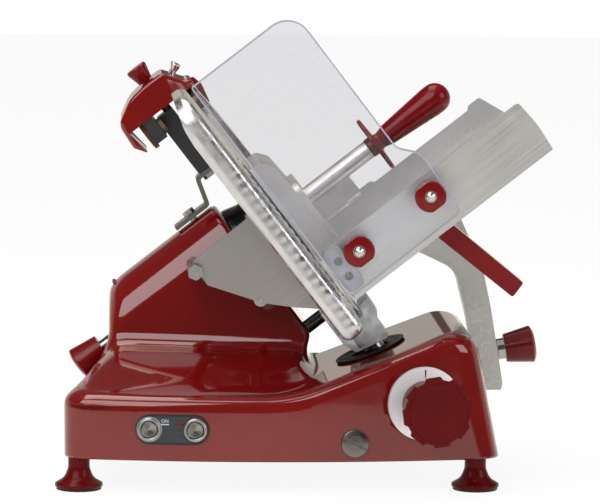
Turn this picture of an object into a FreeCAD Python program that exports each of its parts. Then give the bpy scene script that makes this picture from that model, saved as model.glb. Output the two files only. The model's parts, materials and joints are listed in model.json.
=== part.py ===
import FreeCAD, Part
import math
import os
import re
import Sketcher
from FreeCAD import Placement, Rotation, Vector

# Gravity slicer: an enamelled cast base carries a round blade leaning back by the tilt angle, an
# adjustable gauge plate in front of it, and a food tray that slides past the blade on a rail.
#
# Frames. BASE: x to the right, y away from the operator, z up, origin on the worktop below the
# middle of the machine's box. HEAD: its origin is the blade's centre; x is called n here and points
# square out of the blade towards the tray, y runs as in BASE, z is called u and climbs the blade.

SIZES = {
    # where the middle of the base stands from the frame's origin
    "machine_x": -27.64, "machine_y": 0.27,
    # running and assembly clearances
    "running_gap": 0.3, "fit_gap": 0.05,
    # blade head
    "tilt_angle": 38.0, "head_x": 11.6, "head_y": 60.0, "head_z": 264.7,
    "blade_radius": 150.0, "blade_thickness": 4.0, "blade_dish": 9.0, "blade_web_radius": 118.0,
    "blade_bore_radius": 20.0, "cover_radius": 114.0, "cover_boss_radius": 9.5,
    "hub_flange_radius": 30.0, "shaft_radius": 12.0, "shaft_bore_radius": 6.0,
    "bearing_radius": 24.0, "bearing_width": 12.0, "neck_radius": 33.5, "neck_root_radius": 38.0,
    "neck_length": 39.0, "ring_thickness": 10.0, "ring_proud": 6.3, "ring_depth": 19.0,
    "tie_rod_radius": 4.0, "blade_screw_radius": 2.5, "blade_screw_circle": 25.0,
    "web_front": 78.0, "web_thickness": 6.0, "shaft_length": 104.0, "spigot_radius": 30.0,
    "knob_recess_depth": 232.0, "shank_radius": 7.2, "cover_knob_radius": 19.0,
    # drive
    "driven_pulley_radius": 40.0, "motor_pulley_radius": 15.0, "belt_width": 12.0,
    "belt_thickness": 3.0, "motor_radius": 42.0, "motor_length": 92.0, "motor_drop": 95.0,
    # gauge plate and what carries it
    "gauge_travel": 14.0, "gauge_depth": 25.0, "gauge_face": 5.0, "gauge_front": -185.0,
    "gauge_top": 179.0, "gauge_bottom": -121.0, "rib_pitch": 10.5, "rib_count": 19,
    "rib_radius": 7.0, "rib_depth": 1.1, "post_radius": 10.0, "post_length": 50.0,
    "guide_radius": 7.0, "guide_y": 4.0, "guide_u": -108.0, "guide_length": 80.0,
    "boot_radius": 37.5, "post_n": -7.5, "post_y": -60.0, "block_bottom": 4.4,
    "block_width": 50.0, "index_range": 300.0, "deflector_y": -52.0, "deflector_sheet": 2.0,
    "deflector_stud_radius": 4.0,
    # base
    "base_left": -217.0, "base_right": 227.0, "base_back": 168.0, "base_front": -170.0,
    "base_bottom": 33.0, "deck_height": 98.0, "front_bow": 1100.0, "wall_draft": 3.6,
    "side_draft": 11.5, "left_taper": 10.5,
    "corner_radius": 30.0, "crease_radius": 13.0, "wall": 5.0, "tower_radius": 51.0,
    "tower_left": -171.0, "tower_end": 53.0, "housing_height": 161.0, "housing_slope_start": 14.0,
    "housing_crest": 172.0, "foot_x": 202.0, "foot_y": 135.0, "foot_radius": 24.3,
    "foot_neck_radius": 11.0, "pad_thickness": 2.5, "cover_plate": 3.0, "knob_recess_radius": 27.0,
    # front panel
    "panel_x": -108.0, "panel_z": 65.0, "panel_width": 74.6, "panel_height": 29.6,
    "panel_thickness": 3.0, "button_spacing": 46.7, "button_radius": 8.0, "bezel_radius": 12.0,
    "index_x": 146.7, "index_z": 91.6, "index_ring_radius": 37.5,
    "index_ring_thickness": 5.0, "index_turn": 8.5, "index_knob_radius": 36.0,
    "index_knob_length": 58.0, "spindle_radius": 6.0, "plug_x": 76.4, "plug_z": 51.9,
    "plug_radius": 14.0,
    # carriage
    "carriage_forward": 140.0, "carriage_back": 90.0, "tray_front": -150.0, "tray_back": 80.0,
    "tray_sheet": 2.5, "tray_floor": -94.0, "tray_wall_top": -34.5, "tray_length": 261.5,
    "arm_y": 30.0, "arm_width": 30.0, "rail_radius": 8.0, "rail_x": 178.0, "rail_z": 78.0,
    "slider_radius": 14.0, "slider_length": 40.0, "arm_knob_radius": 19.7,
    "guard_thickness": 4.0, "guard_standoff": 32.0, "guard_knob_radius": 15.75,
    "guard_knob_u": -51.2, "guard_knob_upper_n": 132.1, "guard_knob_lower_n": 42.2,
    # food pusher
    "pusher_y": -30.0, "pusher_u": 5.5, "pusher_face": 2.0, "pusher_thickness": 24.0,
    "pusher_width": 116.0, "pusher_plate": 6.0, "pusher_shaft_radius": 9.75, "pusher_rod_radius": 6.0,
    "pusher_rod_y": 101.0, "pusher_rod_u": -60.0, "pusher_handle_end": 214.0,
    "pusher_disc_radius": 31.0,
    # sharpener
    "sharpener_width": 66.0, "sharpener_wall": 3.0, "sharpener_knob_n": -31.0,
    "stone_radius": 19.5, "stone_thickness": 5.0,
}

doc = FreeCAD.newDocument("gravity_slicer")
sheet = doc.addObject("Spreadsheet::Sheet", "Sizes")
for row, (alias, value) in enumerate(SIZES.items(), 1):
    sheet.set(f"A{row}", alias)
    sheet.set(f"B{row}", str(value))
    sheet.setAlias(f"B{row}", alias)
doc.recompute()

PARTS = []
UP = Vector(0, 0, 1)


def size(text):
    """Value of a formula written with the sheet's names."""
    return float(sheet.evalExpression(text))


def bind(thing, **formulas):
    """Ties the thing's properties to formulas written with the sheet's names."""
    for name, formula in formulas.items():
        tied = re.sub(r"[a-z][a-z_]+", lambda word: named(word.group()), str(formula))
        thing.setExpression(name, tied)
    return thing


def named(word):
    return f"Sizes.{word}" if word in SIZES else word


def at(x, y, z, turn=None):
    return Placement(Vector(x, y, z), turn or Rotation())


def facing(direction):
    return Rotation(UP, Vector(*direction))


BASE = at(size("machine_x"), size("machine_y"), 0)
HEAD = BASE * at(size("head_x"), size("head_y"), size("head_z"),
                 Rotation(Vector(0, 1, 0), -size("tilt_angle")))
ALONG_N = facing((1, 0, 0))
AWAY = facing((0, 1, 0))
TOWARDS = facing((0, -1, 0))
# outline drawn as (x, z) or (n, u), thickness towards the operator
SIDE = Rotation(Vector(1, 0, 0), 90)
# outline drawn as (y, u), thickness along n
CROSS = Rotation(Vector(0, 1, 0), Vector(0, 0, 1), Vector(1, 0, 0), "ZXY")


def outline(*corners):
    """Closed wire through corners (x, y) or (x, y, radius), each rounded to its radius."""
    stops = []
    for index, corner in enumerate(corners):
        here = Vector(corner[0], corner[1], 0)
        before = corners[index - 1]
        after = corners[(index + 1) % len(corners)]
        back = (Vector(before[0], before[1], 0) - here).normalize()
        ahead = (Vector(after[0], after[1], 0) - here).normalize()
        if len(corner) < 3:
            stops.append((here,))
            continue
        half = back.getAngle(ahead) / 2
        inward = (back + ahead).normalize()
        reach = corner[2] / math.tan(half)
        middle = here + inward * (corner[2] / math.sin(half) - corner[2])
        stops.append((here + back * reach, middle, here + ahead * reach))
    edges = []
    for index, stop in enumerate(stops):
        following = stops[(index + 1) % len(stops)][0]
        if len(stop) == 3:
            edges.append(Part.Arc(*stop).toShape())
        if (following - stop[-1]).Length > 1e-6:
            edges.append(Part.makeLine(stop[-1], following))
    return Part.Wire(edges)


def cylinder(name, radius, height, frame, spot, direction=(0, 0, 1)):
    thing = doc.addObject("Part::Cylinder", name)
    bind(thing, Radius=radius, Height=height)
    thing.Placement = frame * at(*spot, facing(direction))
    return thing


def cone(name, first, second, height, frame, spot, direction=(0, 0, 1)):
    thing = doc.addObject("Part::Cone", name)
    bind(thing, Radius1=first, Radius2=second, Height=height)
    thing.Placement = frame * at(*spot, facing(direction))
    return thing


def box(name, length, width, height, frame, spot, turn=None):
    """Box from its lowest corner."""
    thing = doc.addObject("Part::Box", name)
    bind(thing, Length=length, Width=width, Height=height)
    thing.Placement = frame * at(*spot, turn)
    return thing


def prism(name, wire, length, frame, spot, turn):
    """Outline drawn flat, turned into its plane and given its thickness."""
    profile = doc.addObject("Part::Feature", name + "_outline")
    profile.Shape = wire
    thing = doc.addObject("Part::Extrusion", name)
    thing.Base = profile
    thing.DirMode = "Custom"
    thing.Dir = UP
    thing.Solid = True
    bind(thing, LengthFwd=length)
    thing.Placement = frame * at(*spot, turn)
    return thing


def turned(name, wire, frame, spot, direction=(0, 0, 1)):
    """Outline drawn as (radius, height), turned once round its height axis."""
    profile = doc.addObject("Part::Feature", name + "_outline")
    wire.rotate(Vector(), Vector(1, 0, 0), 90)
    profile.Shape = wire
    thing = doc.addObject("Part::Revolution", name)
    thing.Source = profile
    thing.Axis = UP
    thing.Angle = 360
    thing.Solid = True
    thing.Placement = frame * at(*spot, facing(direction))
    return thing


def padded(name, corners, length, frame, spot, turn, rounding=None):
    """Body: a sketch whose corners are formulas, padded, with its long edges rounded if asked."""
    body = doc.addObject("PartDesign::Body", name)
    body.Placement = frame * at(*spot, turn)
    sketch = body.newObject("Sketcher::SketchObject", name + "_sketch")
    plane = next(item for item in body.Origin.OriginFeatures if item.Role == "XY_Plane")
    sketch.AttachmentSupport = (plane, "")
    sketch.MapMode = "FlatFace"
    spots = [Vector(size(x), size(y), 0) for x, y in corners]
    count = len(spots)
    for index in range(count):
        sketch.addGeometry(Part.LineSegment(spots[index], spots[(index + 1) % count]), False)
    for index in range(count):
        sketch.addConstraint(Sketcher.Constraint("Coincident", index, 2, (index + 1) % count, 1))
    for index, corner in enumerate(corners):
        for kind, formula in zip(("DistanceX", "DistanceY"), corner):
            rule = sketch.addConstraint(Sketcher.Constraint(kind, -1, 1, index, 1, size(formula)))
            bind(sketch, **{f"Constraints[{rule}]": formula})
    pad = body.newObject("PartDesign::Pad", name + "_pad")
    pad.Profile = sketch
    bind(pad, Length=length)
    doc.recompute()
    if rounding:
        upright = [f"Edge{number}" for number, edge in enumerate(pad.Shape.Edges, 1)
                   if abs(edge.BoundBox.ZLength - pad.Length.Value) < 1e-3]
        fillet = body.newObject("PartDesign::Fillet", name + "_fillet")
        fillet.Base = (pad, upright)
        bind(fillet, Radius=rounding)
        body.Tip = fillet
    return body


def fuse(name, *shapes):
    thing = doc.addObject("Part::MultiFuse", name)
    thing.Shapes = list(shapes)
    thing.Refine = True
    return thing


def cut(name, base, *tools):
    for index, tool in enumerate(tools):
        thing = doc.addObject("Part::Cut", f"{name}_cut_{index}")
        thing.Base = base
        thing.Tool = tool
        base = thing
    return base


def common(name, *shapes):
    thing = doc.addObject("Part::MultiCommon", name)
    thing.Shapes = list(shapes)
    return thing


def group(name, *things):
    thing = doc.addObject("Part::Compound", name)
    thing.Links = list(things)
    return thing


def built(name, shape):
    """A form that needs fillets or offsets, made from the sheet's sizes in plain geometry."""
    thing = doc.addObject("Part::Feature", name)
    thing.Shape = shape
    return thing


def part(label, thing):
    thing.Label = label
    PARTS.append(thing)
    return thing


def rounded_plan(width, depth, radius):
    """Rectangle about its own centre."""
    half, side = width / 2, depth / 2
    return outline((-half, -side, radius), (half, -side, radius), (half, side, radius),
                   (-half, side, radius))


# Front face: bowed in plan and leaning back, so things on it sit in frames of their own.

def front_y(x, z):
    """Y of the base's front face."""
    bow = size("front_bow") - (z - size("base_bottom")) * math.tan(math.radians(size("wall_draft")))
    centre = size("base_front") + size("front_bow")
    return centre - math.sqrt(bow ** 2 - x ** 2)


def front_frame(x, z, turn, lean):
    """Frame on the front face: x to the right, y up, z out of the face."""
    out = Rotation(UP, turn) * Rotation(Vector(1, 0, 0), 90 - lean)
    return BASE * at(x, front_y(x, z), z, out)


def bow_turn(x):
    return math.degrees(math.asin(x / size("front_bow")))


PANEL = front_frame(size("panel_x"), size("panel_z"), bow_turn(size("panel_x")), size("wall_draft"))
INDEX = front_frame(size("index_x"), size("index_z"), size("index_turn"), 0)
PLUG = front_frame(size("plug_x"), size("plug_z"), bow_turn(size("plug_x")), size("wall_draft"))


# Base casting

def swept_side(wire, back, length):
    wire = wire.copy()
    wire.Placement = at(0, back, 0, SIDE) * wire.Placement
    return Part.Face(wire).extrude(Vector(0, -length, 0))


def shrunk(wire, inset):
    return wire.makeOffset2D(-inset) if inset else wire


def left_wall(y):
    """Left wall's lower edge, which comes inwards towards the back."""
    return size("base_left") + (y + 120) * math.tan(math.radians(size("left_taper")))


def base_walls(inset):
    """Block with the bowed front, the leaning walls and rounded upright corners."""
    low, high = size("base_bottom") - 60, size("housing_height") + 40
    rise = high - low

    def right(z):
        return size("base_right") - (z - size("base_bottom")) * math.tan(math.radians(size("side_draft")))

    sides = outline((-400, low), (-400, high), (right(high), high), (right(low), low))
    block = swept_side(shrunk(sides, inset), size("base_back") - inset, 500)
    kept = Part.makeBox(900, 900, 600, Vector(inset, -400, -300))
    turn = Rotation(Vector(0, 0, 1), -size("left_taper")) * Rotation(Vector(0, 1, 0), -1.4)
    kept.Placement = at(left_wall(0), 0, size("base_bottom"), turn)
    block = block.common(kept)
    slope = math.tan(math.radians(size("wall_draft")))
    bow = size("front_bow") - inset + (size("base_bottom") - low) * slope
    axis = Vector(0, size("base_front") + size("front_bow"), low)
    block = block.common(Part.makeCone(bow, bow - rise * slope, rise, axis))
    upright = [edge for edge in block.Edges if edge.BoundBox.ZLength > 0.8 * rise]
    return block.makeFillet(size("corner_radius") - inset, upright)


def base_roof(inset):
    """Everything under the roof line: flat deck on the left, housing rising to the right."""
    deck, crest = size("deck_height"), size("housing_height")
    far = 400
    line = outline((-far, deck), (size("housing_slope_start"), deck, 160),
                   (size("housing_crest"), crest, 40), (far, crest - 17), (far, 0), (-far, 0))
    return swept_side(shrunk(line, inset), 300, 600)


def crease_edges(solid):
    """Edges between the roof and the walls."""
    found = []
    for edge in solid.Edges:
        if edge.BoundBox.ZMin < size("deck_height") - 10:
            continue
        rises = []
        for face in solid.ancestorsOfType(edge, Part.Face):
            low_u, high_u, low_v, high_v = face.ParameterRange
            rises.append(face.normalAt((low_u + high_u) / 2, (low_v + high_v) / 2).z)
        if len(rises) == 2 and max(rises) > 0.8 and min(rises) < 0.5:
            found.append(edge)
    return found


def housing_drop(inset):
    """Space behind the housing, where its back slopes down to the deck."""
    deck = size("deck_height") - inset
    near = size("housing_slope_start") - 14
    corners = [(near, 20 - inset, 260), (near, 62 - inset, deck), (near, 400, deck), (near, 400, 260)]
    wire = Part.makePolygon([Vector(*corner) for corner in corners + corners[:1]])
    return Part.Face(wire).extrude(Vector(400, 0, 0))


def tower_form(inset):
    """Round-topped tower along the blade's axis, standing on the deck."""
    left = size("tower_left")
    tilt = math.radians(size("tilt_angle"))
    head = at(size("head_x"), 0, size("head_z"), Rotation(Vector(0, 1, 0), -size("tilt_angle")))
    radius = size("tower_radius")

    def spot(n, u):
        corner = head.multVec(Vector(n, 0, u))
        return corner.x, corner.z

    # the side's slope runs above the round top, so that the arch alone shapes it
    top_end = spot(-size("tower_end"), radius + 3)
    slope_x, slope_z = top_end
    left_top = (left, slope_z - (slope_x - left) * math.tan(tilt))
    chin = spot(-size("tower_end"), -radius - 64)
    side = outline((left, 60), (*left_top, 28), (*top_end, 9), (*chin, 14), (22, 98), (10, 60))
    body = swept_side(shrunk(side, inset), 300, 500)
    near, far = math.radians(TOWER_LEAN), math.radians(4)
    radius -= inset
    centre = size("head_y")
    drop = 260
    front = Vector(centre - radius * math.cos(near), radius * math.sin(near), 0)
    rear = Vector(centre + radius * math.cos(far), radius * math.sin(far), 0)
    front_foot = front + Vector(-math.sin(near), -math.cos(near), 0) * drop
    rear_foot = rear + Vector(math.sin(far), -math.cos(far), 0) * drop
    arch = Part.Wire([Part.makeLine(front_foot, front),
                      Part.Arc(front, Vector(centre, radius, 0), rear).toShape(),
                      Part.makeLine(rear, rear_foot), Part.makeLine(rear_foot, front_foot)])
    arch.Placement = head * at(-330, 0, 0, CROSS)
    body = body.common(Part.Face(arch).extrude(head.Rotation.multVec(Vector(400, 0, 0))))
    if inset:
        return body
    corners = [edge for edge in body.Edges if edge.BoundBox.XMax < left + 31
               and edge.BoundBox.ZMax > 70 and edge.BoundBox.YLength < 60]
    return body.makeFillet(14, corners)


def deck_rise(inset):
    """Deck sloping up to the tower's foot."""
    low, high = size("deck_height") - 10, size("deck_height") + 31
    tower = size("tower_left")
    foot = [(left_wall(-156) + 1.5, -156), (48, -156), (48, 160), (left_wall(160) + 1.5, 160)]
    crown = [(tower - 3, -34), (36, -34), (36, 140), (tower + 10, 140)]
    rings = []
    for corners, height, radius in ((foot, low, 30), (crown, high, 24)):
        wire = shrunk(outline(*[(*corner, radius) for corner in corners]), inset)
        wire.translate(Vector(0, 0, height - inset))
        rings.append(wire)
    return Part.makeLoft(rings, True)


def base_form(inset):
    """Outer form of the base, or the hollow inside it when inset by the wall."""
    body = base_walls(inset).common(base_roof(inset))
    below = size("base_bottom") - (20 if inset else 0)
    body = body.common(Part.makeBox(900, 900, 400, Vector(-450, -450, below)))
    if not inset:
        body = body.makeFillet(size("crease_radius"), crease_edges(body))
    body = body.cut(housing_drop(inset))
    return body.fuse([tower_form(inset), deck_rise(inset)])


def head_shape(shape):
    """Plain geometry drawn in head coordinates, put into the base's own coordinates."""
    shape.Placement = BASE.inverse() * HEAD * shape.Placement
    return shape


def rod_shape(radius, start, end, y=0.0, u=0.0):
    """Round bar along n between two values of n."""
    return head_shape(Part.makeCylinder(radius, end - start, Vector(start, y, u), Vector(1, 0, 0)))


def block_shape(n, y, u):
    """Block between pairs of head coordinates."""
    return head_shape(Part.makeBox(n[1] - n[0], y[1] - y[0], u[1] - u[0], Vector(n[0], y[0], u[0])))


def local_y(y):
    """Machine y written from the blade's centre, as the head frame counts it."""
    return y - size("head_y")


def tower_flank(u):
    """Machine y of the tower's near flank at a height u."""
    radius, lean = size("tower_radius"), math.radians(TOWER_LEAN)
    turn_u = radius * math.sin(lean)
    if u > turn_u:
        return size("head_y") - math.sqrt(radius ** 2 - u ** 2)
    return size("head_y") - radius * math.cos(lean) - (turn_u - u) * math.tan(lean)


def housing_slope():
    return math.atan2(size("housing_height - deck_height"), size("housing_crest - housing_slope_start"))


def post_foot():
    """Height u at which the axis of the gauge plate's post meets the housing's slope."""
    rise, tilt = math.tan(housing_slope()), math.radians(size("tilt_angle"))
    base_x = size("head_x") + size("post_n") * math.cos(tilt)
    base_z = size("head_z") + size("post_n") * math.sin(tilt)
    run = base_z - size("deck_height") - (base_x - size("housing_slope_start")) * rise
    return -run / (math.cos(tilt) + math.sin(tilt) * rise)


def boot_frame():
    """Frame on the housing's slope under the gauge plate's post, z square to the slope."""
    tilt, u = math.radians(size("tilt_angle")), post_foot()
    x = size("head_x") + size("post_n") * math.cos(tilt) - u * math.sin(tilt)
    z = size("head_z") + size("post_n") * math.sin(tilt) + u * math.cos(tilt)
    return at(x, size("post_y"), z, Rotation(Vector(0, 1, 0), -math.degrees(housing_slope())))


def slot_shape(spare, low, high):
    """Slot along the slope that leaves the post room for the gauge plate's travel."""
    radius = size("post_radius") + spare
    reach = size("gauge_travel") + 1
    lean = 3.0
    slot = outline((-reach - radius, -radius, radius), (radius + lean, -radius, radius),
                   (radius + lean, radius, radius), (-reach - radius, radius, radius))
    solid = Part.Face(slot).extrude(Vector(0, 0, high - low))
    solid.translate(Vector(0, 0, low))
    solid.Placement = boot_frame() * solid.Placement
    return solid


def in_frame(frame, shape):
    """Shape drawn in a frame, put into the base's own coordinates."""
    shape.Placement = BASE.inverse() * frame * shape.Placement
    return shape


def panel_openings():
    """Pocket of the switch panel, the buttons' holes, the index boss's and the plug's holes."""
    gap = size("running_gap")
    width, height = size("panel_width"), size("panel_height")
    pocket = Part.Face(rounded_plan(width + 2 * gap, height + 2 * gap, height / 2)).extrude(Vector(0, 0, 8))
    pocket.translate(Vector(0, 0, -PANEL_SUNK))
    holes = [in_frame(PANEL, pocket)]
    for side in (-0.5, 0.5):
        spot = Vector(side * size("button_spacing"), 0, -20)
        holes.append(in_frame(PANEL, Part.makeCylinder(size("button_radius") + 0.6, 30, spot)))
    holes.append(in_frame(INDEX, Part.makeCylinder(size("spindle_radius") + size("fit_gap"), 60,
                                                   Vector(0, 0, -40))))
    holes.append(in_frame(PLUG, Part.makeCylinder(8 + gap, 40, Vector(0, 0, -20))))
    inlet = Vector(-120, size("base_back") + 5, 62)
    holes.append(Part.makeCylinder(7 + gap, 20, inlet, Vector(0, -1, 0)))
    return holes


PANEL_SUNK = 1.5
# lean of the tower's near flank in degrees
TOWER_LEAN = 12.0
WEB_FRONT = -size("web_front")
WEB_BACK = WEB_FRONT - size("web_thickness")
BEARING_BACK = WEB_BACK - size("bearing_width")
TOWER_FACE = -size("tower_end")
RECESS_FLOOR = -size("knob_recess_depth")
RAIL_FRONT = -147.0
RAIL_BACK = 160.0
FOOT_LOW = 79.0
FOOT_TOP = 90.0
# n, u and stud radius of the deflector's two fixings
DEFLECTOR_FIXINGS = ((-106.9, 16.8), (-71.5, -48.1))


def make_base():
    wall, gap, fit = size("wall"), size("running_gap"), size("fit_gap")
    recess = size("knob_recess_radius")
    tower_wall = (size("tower_left") - size("head_x")) / math.cos(math.radians(size("tilt_angle")))
    hollow = base_form(wall).cut(rod_shape(recess + wall, RECESS_FLOOR - 190, RECESS_FLOOR + wall))
    index_pad = in_frame(INDEX, Part.makeCylinder(size("index_ring_radius") + 3, 16, Vector(0, 0, -16)))
    shell = base_form(0).fuse(index_pad).cut(rod_shape(recess, RECESS_FLOOR - 190, RECESS_FLOOR))
    shell = shell.cut(hollow)
    tower_slab = block_shape((WEB_BACK, WEB_FRONT), (-95, 85), (-150, 60))
    web = base_form(wall - 0.5).common(tower_slab)
    boss = rod_shape(size("bearing_radius") + 6, BEARING_BACK, WEB_FRONT)
    additions = [web, boss]
    rail_x, rail_z = size("rail_x"), size("rail_z")
    for near, far in ((RAIL_FRONT - 3, RAIL_FRONT + 12), (RAIL_BACK - 16, size("base_back") - wall + 0.5)):
        additions.append(Part.makeBox(22, far - near, 24, Vector(rail_x - 11, near, rail_z - 12)))
    shell = shell.fuse(additions)
    front = size("arm_y - arm_width / 2 - carriage_forward - 2")
    back = size("arm_y + arm_width / 2 + carriage_back + 2")
    holes = [
        rod_shape(size("bearing_radius") + fit, BEARING_BACK - 1, WEB_BACK),
        rod_shape(size("shaft_radius") + 2, WEB_BACK - 1, WEB_FRONT + 1),
        rod_shape(size("motor_pulley_radius"), WEB_BACK - 1, WEB_FRONT + 1, 0, -size("motor_drop")),
        rod_shape(size("spigot_radius") + fit, TOWER_FACE - wall - 6, TOWER_FACE + 12),
        rod_shape(size("shank_radius") + gap, RECESS_FLOOR - 28, tower_wall + 4 * wall),
        rod_shape(size("guide_radius") + gap, -200, TOWER_FACE + 20, local_y(size("guide_y")),
                  size("guide_u")),
        Part.makeCylinder(size("rail_radius") + fit, RAIL_BACK - RAIL_FRONT,
                          Vector(rail_x, RAIL_FRONT, rail_z), Vector(0, 1, 0)),
        Part.makeBox(60, back - front, FOOT_TOP - FOOT_LOW + 4, Vector(rail_x + 14, front, FOOT_LOW - 2)),
        slot_shape(1.5, -30, 20),
    ]
    holes.append(in_frame(INDEX, Part.makeCylinder(size("index_ring_radius") + 1, 30)))
    holes.append(rod_shape(size("blade_radius + ring_thickness") + 5, -size("ring_depth") - 3,
                           size("ring_proud") + 8))
    middle = Vector(-80, 0, size("tower_radius") - 15)
    holes.append(head_shape(Part.makeCylinder(4 + fit, 30, middle)))
    stud = size("deflector_stud_radius")
    for n, u in DEFLECTOR_FIXINGS:
        seat = tower_flank(u + stud + 3)
        for radius, deep in ((stud + fit, 8), (stud + 3.3, 0)):
            start = Vector(n, local_y(seat) + deep, u)
            holes.append(head_shape(Part.makeCylinder(radius, 40, start, Vector(0, -1, 0))))
    shell = shell.cut(holes + panel_openings())
    shell.Placement = BASE * shell.Placement
    return built("base_casting_form", shell)


part("base_casting", make_base())


def make_bottom_cover():
    inset = size("wall + running_gap")
    plate = base_walls(inset).common(
        Part.makeBox(700, 700, size("cover_plate"), Vector(-350, -350, size("base_bottom"))))
    plate.Placement = BASE * plate.Placement
    return built("bottom_cover_form", plate)


part("bottom_cover", make_bottom_cover())


def foot_spot(side, end):
    """Foot's place; the back left one stands further in, under the turned wall."""
    x, y = side * size("foot_x"), end * size("foot_y")
    if side < 0 < end:
        x += left_wall(y) - left_wall(-y)
    return x, y, 0


def make_feet():
    rim, neck = size("foot_radius"), size("foot_neck_radius")
    low, high = size("pad_thickness"), size("base_bottom")
    feet, pads = [], []
    for side in (-1, 1):
        for end in (-1, 1):
            spot = foot_spot(side, end)
            bell = outline((0, low), (rim, low, 1), (rim, low + 3.5, 1.5), (neck + 4, low + 9, 12),
                           (neck, low + 19, 12), (neck, high), (0, high))
            feet.append(turned(f"foot_{len(feet)}", bell, BASE, spot))
            pads.append(cylinder(f"foot_pad_{len(pads)}", "foot_radius - 1.5", "pad_thickness", BASE, spot))
    part("feet", group("feet_group", *feet))
    part("foot_pads", group("foot_pads_group", *pads))


make_feet()


# Switch panel and its two buttons

def make_panel():
    half = size("button_spacing") / 2
    plate = prism("panel_plate", rounded_plan(size("panel_width"), size("panel_height"),
                                              size("panel_height") / 2),
                  "panel_thickness", PANEL, (0, 0, -PANEL_SUNK), Rotation())
    top = size("panel_thickness") - PANEL_SUNK
    holes, bezels, buttons = [], [], {}
    for name, x in (("on_button", -half), ("off_button", half)):
        holes.append(cylinder(name + "_hole", "button_radius + 0.6", 20, PANEL, (x, 0, -10)))
        ring = cylinder(name + "_ring", "bezel_radius", 3, PANEL, (x, 0, top))
        bore = cylinder(name + "_bore", "button_radius + running_gap", 20, PANEL, (x, 0, -10))
        bezels.append(cut(name + "_bezel", ring, bore))
        cap = outline((0, -9), (size("button_radius"), -9), (size("button_radius"), top + 3.6, 1.2),
                      (size("button_radius") - 3, top + 3.2, 1), (0, top + 2.8))
        buttons[name] = turned(name + "_cap", cap, PANEL, (x, 0, 0))
    part("switch_panel", cut("switch_panel", plate, *holes))
    part("button_bezels", group("button_bezels", *bezels))
    for name, cap in buttons.items():
        part(name, cap)


make_panel()


# Index knob on its ring, with the spindle and snail cam that move the gauge plate

def snail(lowest, rise, sweep, start):
    """Cam outline whose radius grows evenly by rise over the sweep, clockwise from the start angle."""
    steps = 20
    points = []
    for step in range(steps + 1):
        share = step / steps
        angle = math.radians(start - sweep * share)
        radius = lowest + rise * share
        points.append(Vector(radius * math.cos(angle), radius * math.sin(angle), 0))
    curve = Part.BSplineCurve()
    curve.interpolate(points)
    return Part.Wire([curve.toShape(), Part.makeLine(points[-1], points[0])])


CAM_LOW = 8.0
CAM_DEPTH = 76.0
CAM_WIDTH = 8.0
PIN_RADIUS = 3.0
CAM_START = 180 + size("tilt_angle")


def make_index():
    fit, gap = size("fit_gap"), size("running_gap")
    ring = cylinder("index_ring_disc", "index_ring_radius", "index_ring_thickness", INDEX, (0, 0, 0))
    bore = cylinder("index_ring_bore", "spindle_radius + 1", 20, INDEX, (0, 0, -5))
    part("index_ring", cut("index_ring", ring, bore))
    low = size("index_ring_thickness") + gap
    high = low + size("index_knob_length")
    rim = size("index_knob_radius")
    # barrel, and a front plate with eight broad teeth round its edge
    side = outline((0, low), (24, low, 1), (25.5, high - 16, 20), (rim - 4, high - 7, 3), (rim - 4, high - 6),
                   (0, high - 6))
    barrel = turned("index_knob_barrel", side, INDEX, (0, 0, 0))
    teeth = []
    for lobe in range(8):
        middle = 45 * lobe + 8
        for radius, angle in ((rim - 3, -16), (rim, -12), (rim, 12), (rim - 3, 16)):
            turn = math.radians(middle + angle)
            teeth.append((radius * math.cos(turn), radius * math.sin(turn), 1.2))
    plate = prism("index_knob_plate", outline(*teeth), 5, INDEX, (0, 0, high - 6), Rotation())
    face = turned("index_knob_face", outline((0, high - 2), (rim - 6, high - 2), (rim - 6.6, high, 0.5),
                                             (0, high)),
                  INDEX, (0, 0, 0))
    socket = cylinder("index_socket", "spindle_radius + fit_gap", 30, INDEX, (0, 0, low - 1))
    part("index_knob", cut("index_knob", fuse("index_knob_form", barrel, plate, face), socket))
    depth = CAM_DEPTH + CAM_WIDTH
    bar = cylinder("index_bar", "spindle_radius", f"{depth} + {low} + 26", INDEX, (0, 0, -depth))
    cam = prism("index_cam", snail(CAM_LOW, size("gauge_travel"), size("index_range"), CAM_START), CAM_WIDTH,
                INDEX, (0, 0, -depth), Rotation())
    part("index_spindle", fuse("index_spindle", bar, cam))


make_index()


def make_plug_screw():
    radius = size("plug_radius")
    head = outline((0, -14), (8, -14), (8, 0), (radius, 0, 0.6), (radius, 3, 1.2), (radius - 5, 4.4, 8),
                   (0, 4.8))
    form = turned("plug_form", head, PLUG, (0, 0, 0))
    slot = box("plug_slot", "2 * plug_radius + 4", 2.4, 5, PLUG, (0, 0, 2.6), Rotation(UP, -29))
    slot.Placement = slot.Placement * at(-radius - 2, -1.2, 0)
    part("plug_screw", cut("plug_screw", form, slot))


make_plug_screw()


def make_inlet():
    back = size("base_back")
    body = outline((0, -12), (7, -12), (7, 0), (11, 0, 1), (11, 3, 1), (8, 5, 2), (6.5, 12, 1.5), (3.5, 12),
                   (3.5, 0.5),
                   (0, 0.5))
    part("mains_inlet", turned("mains_inlet_form", body, BASE, (-120, back, 62), (0, 1, 0)))


make_inlet()


# Drive inside the tower

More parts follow.
